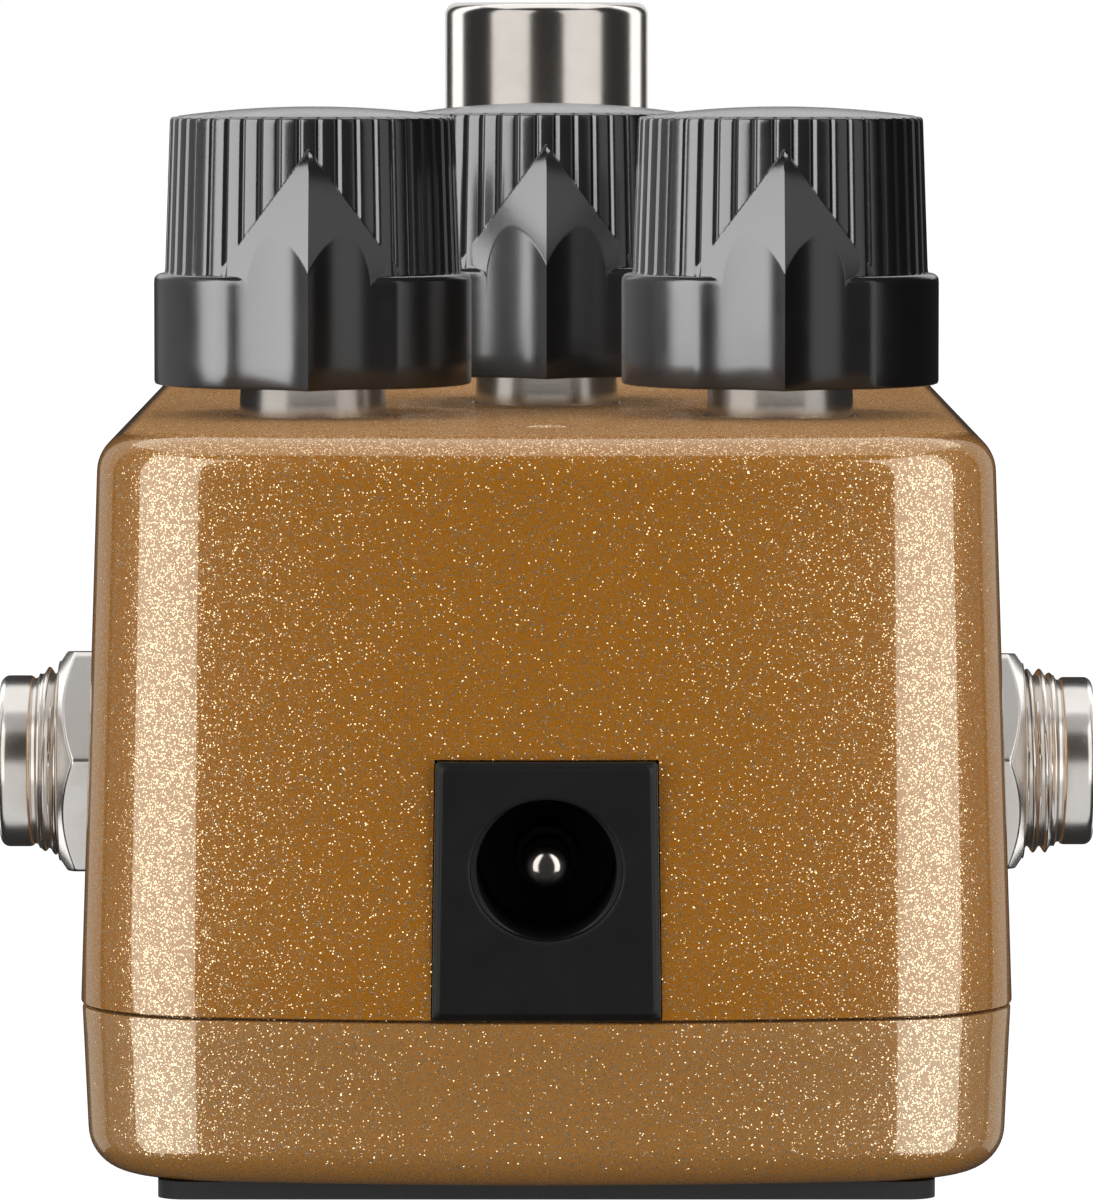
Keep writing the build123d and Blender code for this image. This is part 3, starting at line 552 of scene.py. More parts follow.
for side, (x, y, z) in jack_places.items():
    out = jack_sides[side]
    tools.append(turned("hole", [(0, 15), (JACK_HOLE, 15), (JACK_HOLE, JACK_SEAT), (JACK_SPOT, JACK_SEAT),
                                 (JACK_SPOT, 23), (0, 23)], (0, y, z), axis=(out, 0, 0), columns=96))
plate_low, plate_high = node_box("dc_socket")
PLATE_BASE = 10.15
PLATE_TOP = 9.8
NOTCH_GAP = 0.06


def prism(name, corners, y_start, y_end):
    """An upright outline in x and z carried along y."""
    loop = np.array(corners, float)
    rings = [np.column_stack((loop[:, 0], np.full(len(loop), y), loop[:, 1])) for y in (y_end, y_start)]
    return ring_piece(name, np.array(rings))


notch_base = PLATE_BASE / 2 + NOTCH_GAP
notch_top = PLATE_TOP / 2 + NOTCH_GAP
notch_high = plate_high[2] + NOTCH_GAP
tools.append(prism("notch", [(-notch_base, seam_z - 1), (notch_base, seam_z - 1), (notch_top, notch_high),
                             (-notch_top, notch_high)], plate_low[1] - 1, plate_low[1] + 7))
cut(upper_shell, tools)

BOSS_PILOT = 1.52
BOSS_RADIUS = 3.4
STUD_PILOT = 1.2
STUD_RADIUS = 2.6
boss_blind = screw_high[2] + 1
bosses = [
    turned("boss", [(0, boss_blind), (BOSS_PILOT, boss_blind), (BOSS_PILOT, seam_z), (BOSS_RADIUS, seam_z),
                    (BOSS_RADIUS, ceiling + 0.5), (0, ceiling + 0.5)], (x, y, 0), columns=40)
    for x, y in screw_places
]
bosses += [
    turned("boss", [(0, control_top + 5), (STUD_PILOT, control_top + 5), (STUD_PILOT, control_top),
                    (STUD_RADIUS, control_top), (STUD_RADIUS, ceiling + 0.5), (0, ceiling + 0.5)],
           (x, y, 0), columns=40)
    for x, y in control_screws
]
cut(upper_shell, bosses, "UNION")
finish_mesh(upper_shell)
place(upper_shell, "case", "case_paint", upper_paint, "upper_casing")

seam_low = seam_z - SEAM_GAP
floor_z = 2.6
base_wall = 1.9
depth = seam_low - mat_z
lower_wall_end = LOWER_STEP + depth * tan(LOWER_DRAFT)
base_edge = edge_steps(lower_wall_end, mat_z, BASE_EDGE, LOWER_DRAFT, False)
lower_steps = [
    *reversed(base_edge),
    (LOWER_STEP + (depth - BASE_EDGE - 0.4) * tan(LOWER_DRAFT), mat_z + BASE_EDGE + 0.4),
    (LOWER_STEP + 1.2 * tan(LOWER_DRAFT), seam_low - 1.2),
    (LOWER_STEP + 0.005, seam_low - 0.12),
    (LOWER_STEP + 0.035, seam_low - 0.035),
    (LOWER_STEP + 0.12, seam_low),
    (SEAM_DEPTH, seam_low),
    (SEAM_DEPTH, seam_z),
    (base_wall, seam_z),
    (base_wall + (seam_low - floor_z) * tan(LOWER_DRAFT), floor_z),
    (base_wall + (seam_low - floor_z) * tan(LOWER_DRAFT) + 0.06, floor_z),
]
lower_shell = shell("lower_shell", lower_steps)
PILLAR_RADIUS = 3.5
POST_RADIUS = 1.8
posts = [
    turned("post", [(0, floor_z - 0.5), (PILLAR_RADIUS, floor_z - 0.5), (PILLAR_RADIUS, seam_z),
                    (0, seam_z)], (x, y, 0), columns=40)
    for x, y in screw_places
]
posts += [
    turned("post", [(0, floor_z - 0.5), (POST_RADIUS, floor_z - 0.5), (POST_RADIUS, seam_z - 1.6),
                    (0, seam_z - 1.6)], (x, y, 0), columns=32)
    for x in (-15.4, 15.4) for y in (-29.0, 0.0, 24.0)
]
cut(lower_shell, posts, "UNION")
SCREW_HEAD = 3.1
SCREW_HOLE = 1.68
SINK_DEPTH = 1.6
tools = [
    turned("hole", [(0, mat_z - 1), (SCREW_HEAD, mat_z - 1), (SCREW_HEAD, mat_z),
                    (SCREW_HOLE, mat_z + SINK_DEPTH), (SCREW_HOLE, seam_z + 1), (0, seam_z + 1)],
           (x, y, 0), columns=48)
    for x, y in screw_places
]
cut(lower_shell, tools)
finish_mesh(lower_shell)
place(lower_shell, "case", "case_paint", lower_paint_with_painted_floor_reflection, "lower_casing")


# ---------------------------------------------------------------- knobs
skirt_z, knob_top = node_box("left_knob")[0][2], node_box("left_knob")[1][2]
SKIRT_RADIUS = 7.36
LEDGE_Z = 40.78
CAP_BASE = 6.85
CAP_RIM = 6.6
RIM_Z = 48.02
FLUTES = 46
FLUTE_DEPTH = 0.13
POINTER_RADIUS = 8.45
POINTER_BACK = 6.65
GABLE_TOP = 46.62
GABLE_FOOT = 40.96
GABLE_HALF = 4.35
SCOOP_RADIUS = 5.12
SCOOP_START = radians(56)
SCOOP_BLEND = 0.22
LEDGE_ROUND = 0.34
BORE_RADIUS = 3.0
BORE_TOP = 46.0
HUB_RADIUS = 4.6
HOLLOW_RADIUS = 5.7
HOLLOW_TOP = 44.35
HUB_FOOT = 36.95
RECESS_RADIUS = 6.0
COLUMNS_PER_FLUTE = 9
GROOVE_WIDTH = 0.11
LAND_SAG = 0.16


def smooth_least(a, b, width):
    """The lesser of two, rounded over a width where they cross."""
    blend = np.clip(0.5 + 0.5 * (b - a) / width, 0, 1)
    return b + (a - b) * blend - width * blend * (1 - blend)


def pointer_plan(angle):
    """Radius of the skirt with its pointer, by angle from the pointer: each flank is an arc that starts
    at the tip and scoops inside the skirt's circle before it runs out into it."""
    turn = np.abs(angle)
    centre_x = SCOOP_RADIUS * sin(SCOOP_START)
    centre_y = POINTER_RADIUS + SCOOP_RADIUS * cos(SCOOP_START)
    middle = atan2(centre_x, centre_y)
    along = centre_x * np.sin(turn) + centre_y * np.cos(turn)
    inside = along**2 - (centre_x**2 + centre_y**2 - SCOOP_RADIUS**2)
    flank = along - np.sqrt(np.maximum(inside, 0))
    flank = np.where((inside > 0) & (turn < 2 * middle), flank, POINTER_RADIUS)
    joined = smooth_least(flank, np.full_like(flank, SKIRT_RADIUS), SCOOP_BLEND)
    return np.where(turn < middle, flank, np.where(turn < 2 * middle, joined, SKIRT_RADIUS))


def gable(angle, height):
    """Radius of the pointer's two sloping faces at a height. At each height a face is a straight line in
    plan from the ridge to the cap, and the line's foot on the cap moves out evenly as it goes down."""
    drop = GABLE_TOP - height
    ridge = POINTER_BACK + drop * (POINTER_RADIUS - POINTER_BACK) / (GABLE_TOP - GABLE_FOOT)
    side = GABLE_HALF * max(drop, 1e-4) / (GABLE_TOP - LEDGE_Z)
    forward = sqrt((CAP_BASE - 0.04) ** 2 - side**2)
    turn = np.abs(angle)
    reach = ridge * side / (side * np.cos(turn) + (ridge - forward) * np.sin(turn))
    return np.where((turn < atan2(side, forward)) & (drop > 0), reach, 0)


def knob_piece(side):
    """A fluted pointer knob as radius by angle and height: cap with its flutes, or the pointer's gable
    cut off by its flanks where that stands further out; a skirt below, a low dome above."""
    centre = (*knob_places[side], 0)
    near = np.radians(np.linspace(-40, 40, 271))
    far_count = int(round(280 / 360 * FLUTES * COLUMNS_PER_FLUTE))
    far = np.radians(np.linspace(40, 320, far_count + 1))[1:-1]
    angle = np.concatenate((near, far))
    angle = (angle + pi) % (2 * pi) - pi
    phase = (angle * FLUTES / (2 * pi) + 0.5) % 1 - 0.5
    groove = np.exp(-(((0.5 - np.abs(phase)) / GROOVE_WIDTH) ** 2)) + LAND_SAG * (2 * phase) ** 2
    plan = pointer_plan(angle)
    rows = []

    def row(radius, height):
        rows.append((np.broadcast_to(radius, angle.shape), np.broadcast_to(height, angle.shape)))

    for radius, height in (
        (0.0, BORE_TOP), (BORE_RADIUS, BORE_TOP), (BORE_RADIUS, HUB_FOOT), (HUB_RADIUS, HUB_FOOT),
        (HUB_RADIUS, HOLLOW_TOP), (HOLLOW_RADIUS, HOLLOW_TOP), (HOLLOW_RADIUS, HUB_FOOT),
        (RECESS_RADIUS, HUB_FOOT), (RECESS_RADIUS, skirt_z + 0.1), (RECESS_RADIUS + 0.1, skirt_z),
        (plan - 0.16, skirt_z), (plan - 0.05, skirt_z + 0.04), (plan, skirt_z + 0.16), (plan, skirt_z + 1.2),
        (plan, LEDGE_Z - 1.5), (plan, LEDGE_Z - 0.42),
    ):
        row(radius, height)
    pointer_here = np.minimum(plan, gable(angle, LEDGE_Z))
    for a in np.radians(np.linspace(15, 90, 6)):
        row(np.maximum(plan - LEDGE_ROUND * (1 - cos(a)), pointer_here), LEDGE_Z - LEDGE_ROUND * (1 - sin(a)))
    heights = np.concatenate((
        LEDGE_Z + np.array([0.004, 0.03, 0.08]),
        np.linspace(LEDGE_Z + 0.14, GABLE_TOP + 0.1, 78),
        np.linspace(GABLE_TOP + 0.3, RIM_Z - 0.2, 5),
    ))
    for height in heights:
        share = (height - LEDGE_Z) / (RIM_Z - LEDGE_Z)
        foot = 0.07 * np.exp(-((height - LEDGE_Z) / 0.06))
        cap = CAP_BASE + (CAP_RIM - CAP_BASE) * share + foot - FLUTE_DEPTH * groove
        row(np.maximum(cap, np.minimum(plan, gable(angle, height))), height)
    for drop, inward, depth in ((0.1, 0.012, 1.0), (0.03, 0.05, 0.9), (0.0, 0.12, 0.75), (-0.012, 0.3, 0.3)):
        row(CAP_RIM - inward - FLUTE_DEPTH * groove * depth, RIM_Z - drop)
    dome_radius = (CAP_RIM**2 + (knob_top - RIM_Z) ** 2) / (2 * (knob_top - RIM_Z))
    for radius in (6.15, 5.8, 5.2, 4.4, 3.4, 2.3, 1.1, 0.0):
        row(radius, knob_top - dome_radius + sqrt(dome_radius**2 - radius**2))
    radius = np.array([r for r, _ in rows])
    height = np.array([h for _, h in rows])
    rings = around(radius, height, centre, angles=angle)
    return ring_piece(f"{side}_knob_shell", rings)


def collar(side):
    """The plated collar of a control: a tapered tube with a rounded top edge and its shaft hole."""
    low, high = node_box(f"{side}_pot_bushing")
    bore = 3.03
    profile = [(bore, low[2]), (3.4, low[2]), (3.4, panel_z - 0.3), (3.44, panel_z), (3.4, panel_z + 0.6),
               (3.32, high[2] - 0.2), *arc((3.2, high[2] - 0.12), 0.12, 0, 90, 5), (bore, high[2])]
    piece = turned(f"{side}_collar", profile, (*knob_places[side], 0), columns=120, closed=True)
    finish_mesh(piece)
    return piece


for side in knob_places:
    knob = knob_piece(side)
    finish_mesh(knob, 24)
    place(knob, f"{side}_control", "knob_plastic", finishes["knob_plastic"], f"{side}_knob")
    place(collar(side), "case", "satin_nickel", finishes["satin_nickel"], f"{side}_pot_bushing")

# ---------------------------------------------------------------- footswitch
BUTTON_Z = 46.2
BUTTON_LIP = 0.25
BUTTON_EDGE = 0.65
STEM_RADIUS = 3.8
STEM_FLANGE = 5.0
cap_radius = switch_high[0]
switch_top = switch_high[2]
flange_top = switch_low[2] + 2.1
button = turned(
    "press_button",
    [
        (0, switch_low[2]), (STEM_FLANGE, switch_low[2]), (STEM_FLANGE, flange_top),
        (STEM_RADIUS, flange_top), (STEM_RADIUS, BUTTON_Z), (cap_radius - 0.3, BUTTON_Z),
        *arc((cap_radius - BUTTON_LIP, BUTTON_Z + BUTTON_LIP), BUTTON_LIP, 270, 360, 6),
        (cap_radius, BUTTON_Z + 1), (cap_radius, switch_top - 1.2),
        *arc((cap_radius - BUTTON_EDGE, switch_top - BUTTON_EDGE), BUTTON_EDGE, 0, 90, 14),
        (cap_radius - 0.8, switch_top), (2.0, switch_top), (0, switch_top),
    ],
    (*switch_place, 0),
    columns=160,
)
finish_mesh(button)
place(button, "footswitch", "button_chrome", finishes["button_chrome"], "footswitch_button")


def threaded(base_radius, depth, pitch, angle, height, start, end, hand=1):
    """Radius of a screw thread: a rounded ridge that climbs one pitch a turn and fades at both ends."""
    phase = (height / pitch - hand * angle / (2 * pi)) % 1
    ridge = (0.5 - 0.5 * np.cos(2 * pi * phase)) ** 0.8
    run_out = 0.6 * pitch
    fade = np.clip((height - start) / run_out, 0, 1) * np.clip((end - height) / run_out, 0, 1)
    return base_radius - depth * (1 - ridge * fade)


def threaded_rings(before, after, base_radius, depth, pitch, start, end, centre, axis,
                   columns=120, per_pitch=10, hand=1):
    """Rings for a part whose middle is a screw thread, between two plain turned profiles."""
    angle = np.linspace(0, 2 * pi, columns, endpoint=False)
    radius, height = [], []
    for r, h in before:
        radius.append(np.full(columns, r))
        height.append(np.full(columns, h))
    for h in np.linspace(start, end, int((end - start) / pitch * per_pitch)):
        radius.append(threaded(base_radius, depth, pitch, angle, h, start, end, hand))
        height.append(np.full(columns, h))
    for r, h in after:
        radius.append(np.full(columns, r))
        height.append(np.full(columns, h))
    return around(np.array(radius), np.array(height), centre, axis)


bushing_low, bushing_high = node_box("footswitch_bushing")
THREAD_RADIUS = 5.95
THREAD_DEPTH = 0.35
THREAD_PITCH = 0.75
guide = STEM_RADIUS + 0.06
rings = threaded_rings(
    [(guide, bushing_low[2]), (THREAD_RADIUS - THREAD_DEPTH, bushing_low[2])],
    [(5.45, bushing_high[2]), (guide + 0.1, bushing_high[2]), (guide, bushing_high[2] - 0.1)],
    THREAD_RADIUS, THREAD_DEPTH, THREAD_PITCH, panel_z - 1.5, bushing_high[2] - 0.1, (*switch_place, 0),
    (0, 0, 1),
)
bushing = ring_piece("switch_bushing", rings, closed_rows=True)
frame_size = bushing_high[0]
FRAME_COLUMNS = 96
FRAME_POWER = 14
FRAME_BORE = 5.3
turn = np.linspace(0, 2 * pi, FRAME_COLUMNS, endpoint=False)
corners = np.abs(np.cos(turn)) ** FRAME_POWER + np.abs(np.sin(turn)) ** FRAME_POWER
square = corners ** (-1 / FRAME_POWER)
frame_rings = [
    around(size * square, np.full(FRAME_COLUMNS, z), (*switch_place, 0))
    for size, z in ((frame_size - 0.05, bushing_low[2]), (frame_size, bushing_low[2] + 0.05),
                    (frame_size, ceiling - 0.05), (frame_size - 0.05, ceiling))
]
switch_frame = ring_piece("switch_frame", np.array(frame_rings))
hole = turned("hole", [(0, bushing_low[2] - 1), (FRAME_BORE, bushing_low[2] - 1),
                       (FRAME_BORE, ceiling + 1), (0, ceiling + 1)], (*switch_place, 0), columns=96)
cut(switch_frame, [hole])
cut(bushing, [switch_frame], "UNION")
finish_mesh(bushing)
place(bushing, "case", "satin_nickel", finishes["satin_nickel"], "footswitch_bushing")


NUT_COLUMNS = 360


def hex_nut(name, flats, seat, thickness, face_radius, slope, hole, centre, axis, turn):
    """A chamfered nut: its radius is the least of a hexagon's and a cone's, a little rounded."""
    angle = np.linspace(0, 2 * pi, NUT_COLUMNS, endpoint=False)
    hexagon = flats / 2 / np.cos((angle - turn) % (pi / 3) - pi / 6)
    hexagon = smooth_least(hexagon, np.full_like(hexagon, flats / 2 / cos(pi / 6) - 0.05), 0.12)
    rows = [(np.full(NUT_COLUMNS, hole), 0.0)]
    depths = np.concatenate(([0.0, 0.04], np.linspace(0.1, thickness - 0.03, 34), [thickness]))
    for depth_here in depths:
        cone = face_radius + (thickness - depth_here) * slope
        radius = smooth_least(hexagon, np.full_like(hexagon, cone), 0.08)
        rows.append((radius - (0.05 if depth_here in (0.0, thickness) else 0.0), depth_here))
    rows.append((np.full(NUT_COLUMNS, hole + 0.25), thickness))
    rows.append((np.full(NUT_COLUMNS, hole), thickness - 0.25))
    radius = np.array([r for r, _ in rows])
    height = seat + np.array([np.full(NUT_COLUMNS, h) for _, h in rows])
    piece = ring_piece(name, around(radius, height, centre, axis, angle), closed_rows=True)
    finish_mesh(piece, 40)
    return piece


washer_low, washer_high = node_box("footswitch_washer")
washer_radius = washer_high[0]
WASHER_BORE = 6.03
washer = turned(
    "switch_washer",
    [(WASHER_BORE, washer_low[2]), (washer_radius - 0.08, washer_low[2]),
     (washer_radius, washer_low[2] + 0.08), *arc((washer_radius - 0.2, washer_high[2] - 0.2), 0.2, 0, 90, 6),
     (WASHER_BORE + 0.1, washer_high[2]), (WASHER_BORE, washer_high[2] - 0.1)],
    (*switch_place, 0), columns=120, closed=True,
)
finish_mesh(washer)
place(washer, "case", "satin_nickel", finishes["satin_nickel"], "footswitch_washer")
nut_low, nut_high = node_box("footswitch_nut")
nut = hex_nut("switch_nut", 14.0, nut_low[2], nut_high[2] - nut_low[2], 7.0, tan(radians(62)), 6.0,
              (*switch_place, 0), (0, 0, 1), radians(9))
place(nut, "case", "satin_nickel", finishes["satin_nickel"], "footswitch_nut")

# ---------------------------------------------------------------- plug sockets
JACK_BORE = 3.25
JACK_THREAD = 4.42
JACK_THREAD_DEPTH = 0.33
JACK_PITCH = 0.58
JACK_NECK = 4.12
JACK_RIM = 4.02
NUT_TURN = radians(4.5)
for side, (x, y, z) in jack_places.items():
    out = jack_sides[side]
    centre, axis = (0, y, z), (out, 0, 0)
    low, high = node_box(f"{side}_jack_bushing")
    nose = max(abs(low[0]), abs(high[0]))
    inner = min(abs(low[0]), abs(high[0]))
    thread_end = nose - 1.85
    neck = [(JACK_NECK, thread_end + 0.02), (JACK_NECK - 0.2, thread_end + 0.12)]
    rim = [*arc((JACK_RIM - 0.28, thread_end + 0.5), 0.28, -60, 0, 4),
           *arc((JACK_RIM - 0.42, nose - 0.42), 0.42, 0, 90, 9)]
    mouth = arc((JACK_BORE + 0.16, nose - 0.16), 0.16, 90, 180, 5)
    rings = threaded_rings(
        [(JACK_BORE, inner), (JACK_NECK, inner), (JACK_NECK, 18.0)], [*neck, *rim, *mouth],
        JACK_THREAD, JACK_THREAD_DEPTH, JACK_PITCH, 18.1, thread_end, centre, axis, per_pitch=11, hand=out,
    )
    jack_nose = ring_piece(f"{side}_jack_nose", rings, closed_rows=True)
    finish_mesh(jack_nose)
    place(jack_nose, "case", "satin_nickel", finishes["satin_nickel"], f"{side}_jack_bushing")
    first, second = frame_of(axis)
    toward = np.array((0.0, -cos(NUT_TURN), sin(NUT_TURN)))
    corner = atan2(float(toward @ second), float(toward @ first))
    nut_low, nut_high = node_box(f"{side}_jack_nut")
    jack_nut = hex_nut(f"{side}_jack_nut_piece", 10.3, JACK_SEAT, nut_high[0] - nut_low[0], 4.6, 1.5, 4.45,
                       centre, axis, corner)
    place(jack_nut, "case", "satin_nickel", finishes["satin_nickel"], f"{side}_jack_nut")

# ---------------------------------------------------------------- power socket
socket_y = plate_low[1]
socket_z = socket_place[2]
RAYS = 240
FAR = 1e3
ray = np.linspace(0, 2 * pi, RAYS, endpoint=False)
ray_x, ray_z = np.cos(ray), np.sin(ray)


def plate_loop(inset):
    """The plate's outline round the socket's axis, a trapezium: along each direction, the least of the
    distances to its four sides."""
    top = plate_high[2] - inset - socket_z
    bottom = socket_z - plate_low[2] - inset
    lean = (PLATE_BASE - PLATE_TOP) / 2 / (plate_high[2] - plate_low[2])
    half = PLATE_BASE / 2 - inset - lean * (socket_z - plate_low[2])
    up = np.where(ray_z > 1e-6, top / np.maximum(ray_z, 1e-6), FAR)
    down = np.where(ray_z < -1e-6, bottom / np.maximum(-ray_z, 1e-6), FAR)
    side = half / np.maximum(np.abs(ray_x) + lean * ray_z, 1e-6)
    side = np.where(np.abs(ray_x) > 0.05, side, FAR)
    return np.minimum(np.minimum(up, down), side)


def body_loop():
    """The socket's body behind the plate, a rectangle round the axis."""
    top = plate_high[2] - 0.6 - socket_z
    bottom = socket_z - plate_low[2]
    up = np.where(ray_z > 1e-6, top / np.maximum(ray_z, 1e-6), FAR)
    down = np.where(ray_z < -1e-6, bottom / np.maximum(-ray_z, 1e-6), FAR)
    return np.minimum(np.minimum(up, down), 4.5 / np.maximum(np.abs(ray_x), 1e-6))


def oval(half_x, half_z):
    """An oval round the axis, by direction."""
    return 1 / np.sqrt((ray_x / half_x) ** 2 + (ray_z / half_z) ** 2)


socket_rows = [
    (oval(1.02, 1.02), 14.4), (body_loop(), 14.4), (body_loop(), 2.0), (plate_loop(0.03), 2.0),
    (plate_loop(0.0), 1.9), (plate_loop(0.0), 0.24), (plate_loop(0.03), 0.17), (plate_loop(0.09), 0.12),
    (plate_loop(0.17), 0.1), (plate_loop(0.2), 0.085), (plate_loop(0.27), 0.02), (plate_loop(0.31), 0.0),
    (plate_loop(0.4), 0.0), (oval(3.6, 3.36), 0.0), (oval(3.47, 3.23), 0.0), (oval(3.4, 3.16), 0.025),
    (oval(3.37, 3.13), 0.1), (oval(3.36, 3.12), 0.66), (oval(3.12, 3.1), 0.7), (oval(3.1, 3.1), 0.76),
    (oval(3.1, 3.1), 9.4), (oval(1.45, 1.45), 9.4), (oval(1.45, 1.45), 6.3), (oval(1.38, 1.38), 6.2),
    (oval(1.08, 1.08), 6.2), (oval(1.02, 1.02), 6.26),
]
radius = np.array([r for r, _ in socket_rows])
back = np.array([np.full(RAYS, d) for _, d in socket_rows])
rings = np.stack((radius * ray_x, socket_y + back, socket_z + radius * ray_z), axis=-1)
socket = ring_piece("power_socket_front", rings[::-1], closed_rows=True)
finish_mesh(socket, 30)
place(socket, "case", "socket_plastic", finishes["socket_plastic"], "dc_socket")
pin = turned(
    "power_pin",
    [(0, 0), (0.94, 0), (1.0, 0.06), (1.0, 11.9), *arc((0.2, 12.0), 0.8, 0, 90, 12), (0, 12.8)],
    (0, socket_y + 14.4, socket_z), axis=(0, -1, 0), columns=64,
)
finish_mesh(pin, 50)
place(pin, "case", "button_chrome", finishes["button_chrome"], "dc_centre_pin")

# ---------------------------------------------------------------- status light
lens = turned(
    "status_lens",
    [(0, light_low[2]), (1.7, light_low[2]), (1.75, light_low[2] + 0.05), (1.75, light_low[2] + 0.8),
     (1.5, light_low[2] + 0.85), (1.5, light_high[2] - 1.3), *arc((0.2, light_high[2] - 1.3), 1.3, 0, 90, 14),
     (0, light_high[2])],
    (*light_place, 0), columns=64,
)
finish_mesh(lens, 50)
place(lens, "case", "light_lens", finishes["light_lens"], "status_light")

# ---------------------------------------------------------------- carried-over nodes
node_slots = {part["node"]: part["material_slot"] for part in frame["record"]["subparts"]}
for name, node in frame["nodes"].items():
    material = finishes.get(node_slots[name], upper_paint)
    node.data.materials.clear()
    node.data.materials.append(material)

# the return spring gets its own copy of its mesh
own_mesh(bpy.data.objects["footswitch_spring"])

# ---------------------------------------------------------------- floor, light and camera
FLOOR_HALF = 2000
floor_corners = [(x * FLOOR_HALF, y * FLOOR_HALF, 0) for x, y in ((-1, -1), (1, -1), (1, 1), (-1, 1))]
floor = new_object("studio_floor", floor_corners, [(0, 1, 2, 3)])
floor_finish = Finish("studio_floor", base_color=(0.35, 0.34, 0.33), roughness=0.7)
seen = floor_finish.node("ShaderNodeLightPath", {}, {}, "Is Camera Ray")
glow = floor_finish.node("ShaderNodeEmission", {}, {"Color": (1, 1, 1), "Strength": 1.15})
surface = Value(floor_finish, floor_finish.shader.outputs[0])
blend = floor_finish.node("ShaderNodeMixShader", {}, {0: seen * 0.93, 1: surface, 2: glow})
floor_output = next(n for n in floor_finish.nodes if n.type == "OUTPUT_MATERIAL")
floor_finish.plug(floor_output.inputs["Surface"], blend)
floor.data.materials.append(floor_finish.material)
floor.visible_diffuse = floor.visible_glossy = floor.visible_shadow = False

world = bpy.data.worlds.new("studio")
bpy.context.scene.world = world
world.use_nodes = True
tree = world.node_tree
tree.nodes.clear()
path = tree.nodes.new("ShaderNodeLightPath")
sky = tree.nodes.new("ShaderNodeBackground")
sky.inputs["Color"].default_value = (1, 1, 1, 1)
dim = tree.nodes.new("ShaderNodeBackground")
dim.inputs["Color"].default_value = (1, 0.98, 0.96, 1)
dim.inputs["Strength"].default_value = 0.03
choose = tree.nodes.new("ShaderNodeMixShader")
out = tree.nodes.new("ShaderNodeOutputWorld")
tree.links.new(path.outputs["Is Camera Ray"], choose.inputs[0])
tree.links.new(dim.outputs[0], choose.inputs[1])
tree.links.new(sky.outputs[0], choose.inputs[2])
tree.links.new(choose.outputs[0], out.inputs["Surface"])


AIM = Vector((0, 0, 0.025))


def soft_box(name, azimuth, elevation, distance, width, height, radiance, colour):
    """A rectangular soft light. Azimuth is round the object from the camera's side, in degrees."""
    data = bpy.data.lights.new(name, "AREA")
    data.shape = "RECTANGLE"
    data.size = width
    data.size_y = height
    data.energy = radiance * pi * width * height
    data.color = colour
    lamp = bpy.data.objects.new(name, data)
    bpy.context.scene.collection.objects.link(lamp)
    a, e = radians(azimuth), radians(elevation)
    lamp.location = Vector((sin(a) * cos(e), -cos(a) * cos(e), sin(e))) * distance + AIM
    lamp.rotation_euler = (AIM - lamp.location).to_track_quat("-Z", "Y").to_euler()
    return lamp


def group_of(name, pieces):
    """A collection of pieces."""
    group = bpy.data.collections.new(name)
    for piece in pieces:
        group.objects.link(piece)
    return group


def shine_on(lamp, pieces, shaded_by=None):
    """The lamp lights only these pieces, and only the named ones shade them, if any are named."""
    lamp.light_linking.receiver_collection = group_of(lamp.name + "_on", pieces)
    if shaded_by:
        lamp.light_linking.blocker_collection = group_of(lamp.name + "_shade", shaded_by)


painted = [upper_shell, lower_shell]
knobs = [bpy.data.objects[f"{side}_knob_shell"] for side in knob_places]
collars = [bpy.data.objects[f"{side}_collar"] for side in knob_places]
others = [o for o in bpy.data.objects if o.type == "MESH" and o not in painted + knobs + collars]
white = (1, 1, 1)
warm = (1.0, 0.98, 0.95)
cream = (1.0, 0.95, 0.8)
button = [bpy.data.objects["press_button"]]
dark = [bpy.data.objects[name] for name in ("power_socket_front", "power_pin")]
others = [o for o in others if o not in button + dark and o.name != "status_lens"]
for knob in knobs:
    knob.visible_glossy = False
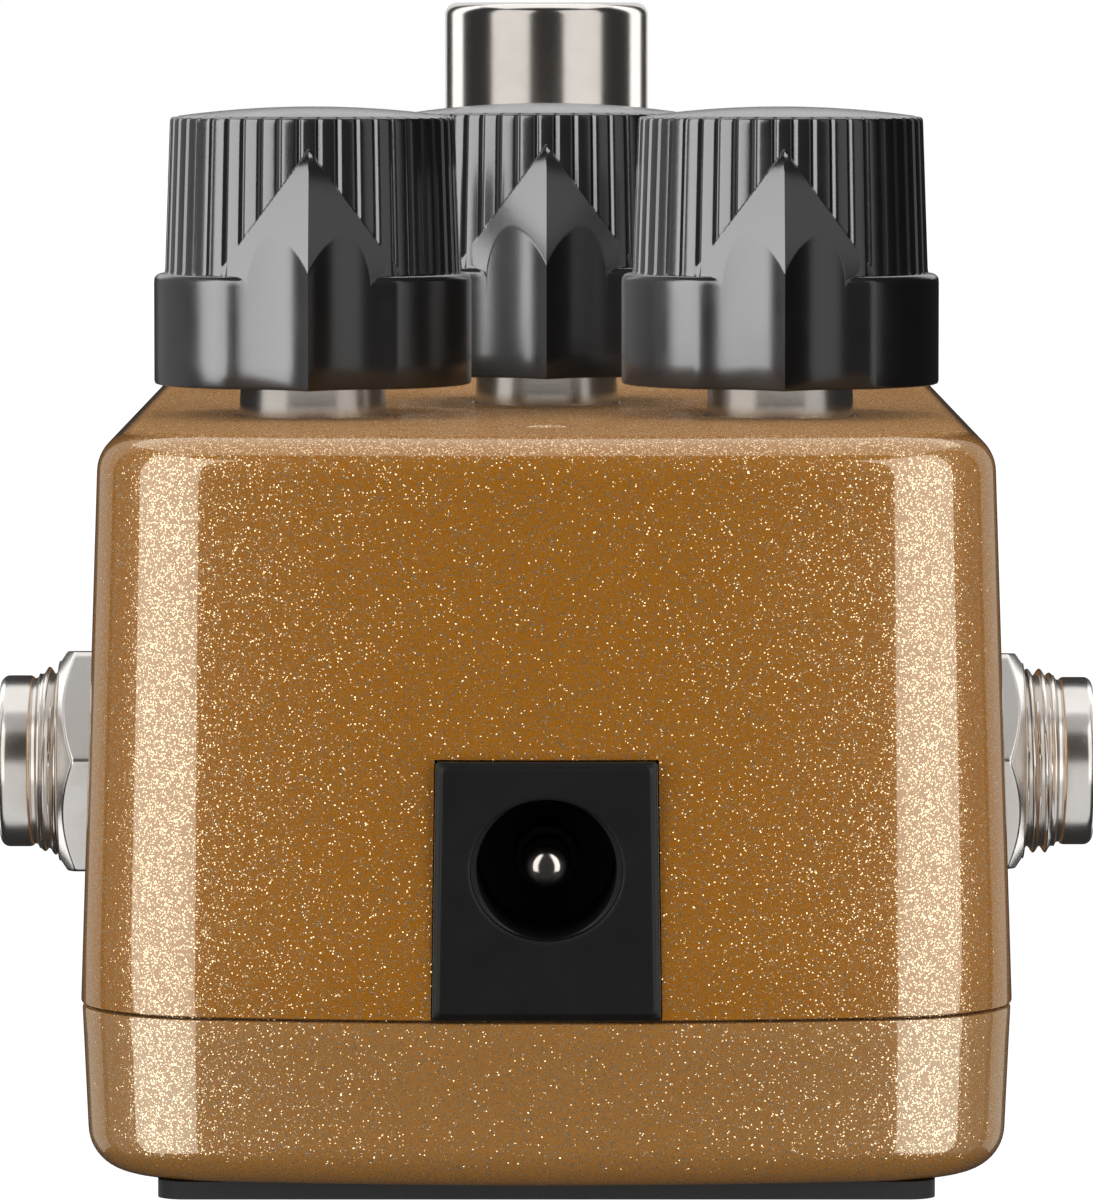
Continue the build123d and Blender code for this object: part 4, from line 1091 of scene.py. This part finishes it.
# each pair: name, azimuth, elevation, distance, width, height, radiance, colour, pieces that it lights
lamp_pairs = [
    ("paint_box", 55, 6, 0.8, 0.8, 1.5, 4.1, cream, painted),
    ("paint_side", 98, 6, 0.8, 0.42, 1.5, 0.25, cream, painted),
    ("paint_rim", 134, 12, 0.8, 0.46, 1.2, 0.5, cream, painted),
    ("metal_box", 46, 14, 0.8, 0.68, 1.1, 1.3, warm, others + dark),
    ("metal_side", 100, 20, 0.8, 0.3, 1.1, 1.0, warm, others),
    ("metal_rim", 134, 12, 0.8, 0.46, 1.2, 1.6, white, others),
    ("button_box", 43, 10, 0.8, 0.7, 1.2, 0.9, warm, button),
    ("button_side", 124, 10, 0.8, 0.34, 1.2, 1.5, warm, button),
]
for hand in (-1, 1):
    for name, azimuth, *shape, pieces in lamp_pairs:
        shine_on(soft_box(f"{name}_{hand}", hand * azimuth, *shape), pieces)
# each lamp: the same, and then the pieces that shade it where not all do
lamps = [
    ("button_back", 180, 25, 0.8, 0.7, 1.0, 0.8, white, button, None),
    ("knob_left", -56, 20, 0.8, 1.0, 1.2, 7.0, white, knobs, painted),
    ("knob_right", 56, 14, 0.8, 0.5, 1.2, 1.0, white, knobs, painted),
    ("knob_edge", -125, 14, 0.8, 0.8, 1.2, 0.3, white, knobs, None),
    ("knob_back", 180, 20, 0.8, 1.0, 0.28, 1.1, white, knobs, painted),
    ("collar_left", -62, 14, 0.8, 0.7, 1.2, 0.75, warm, collars, None),
    ("collar_right", 55, 14, 0.8, 0.5, 1.2, 0.55, warm, collars, None),
    ("panel_box", 180, 80, 0.9, 1.5, 1.3, 1.6, cream, painted, None),
    ("overhead_box", 180, 80, 0.9, 1.3, 0.9, 1.2, white, others + button, None),
    ("upper_box", 0, 60, 0.8, 1.7, 0.5, 0.5, white, others, None),
    ("under_box", 0, -44, 0.8, 1.7, 1.7, 0.8, white, others + collars, None),
]
for *shape, pieces, shaded_by in lamps:
    shine_on(soft_box(*shape), pieces, shaded_by)

camera_data = bpy.data.cameras.new("camera")
camera_data.lens = 267.5
camera_data.sensor_width = 36
camera_data.clip_start = 0.01
camera_data.clip_end = 20
camera = bpy.data.objects.new("camera", camera_data)
camera.location = (0, -0.43885, 0.0542)
camera.rotation_euler = (radians(90 - 3.957), 0, 0)
bpy.context.scene.collection.objects.link(camera)
bpy.context.scene.camera = camera
bpy.context.scene.view_settings.view_transform = "Standard"
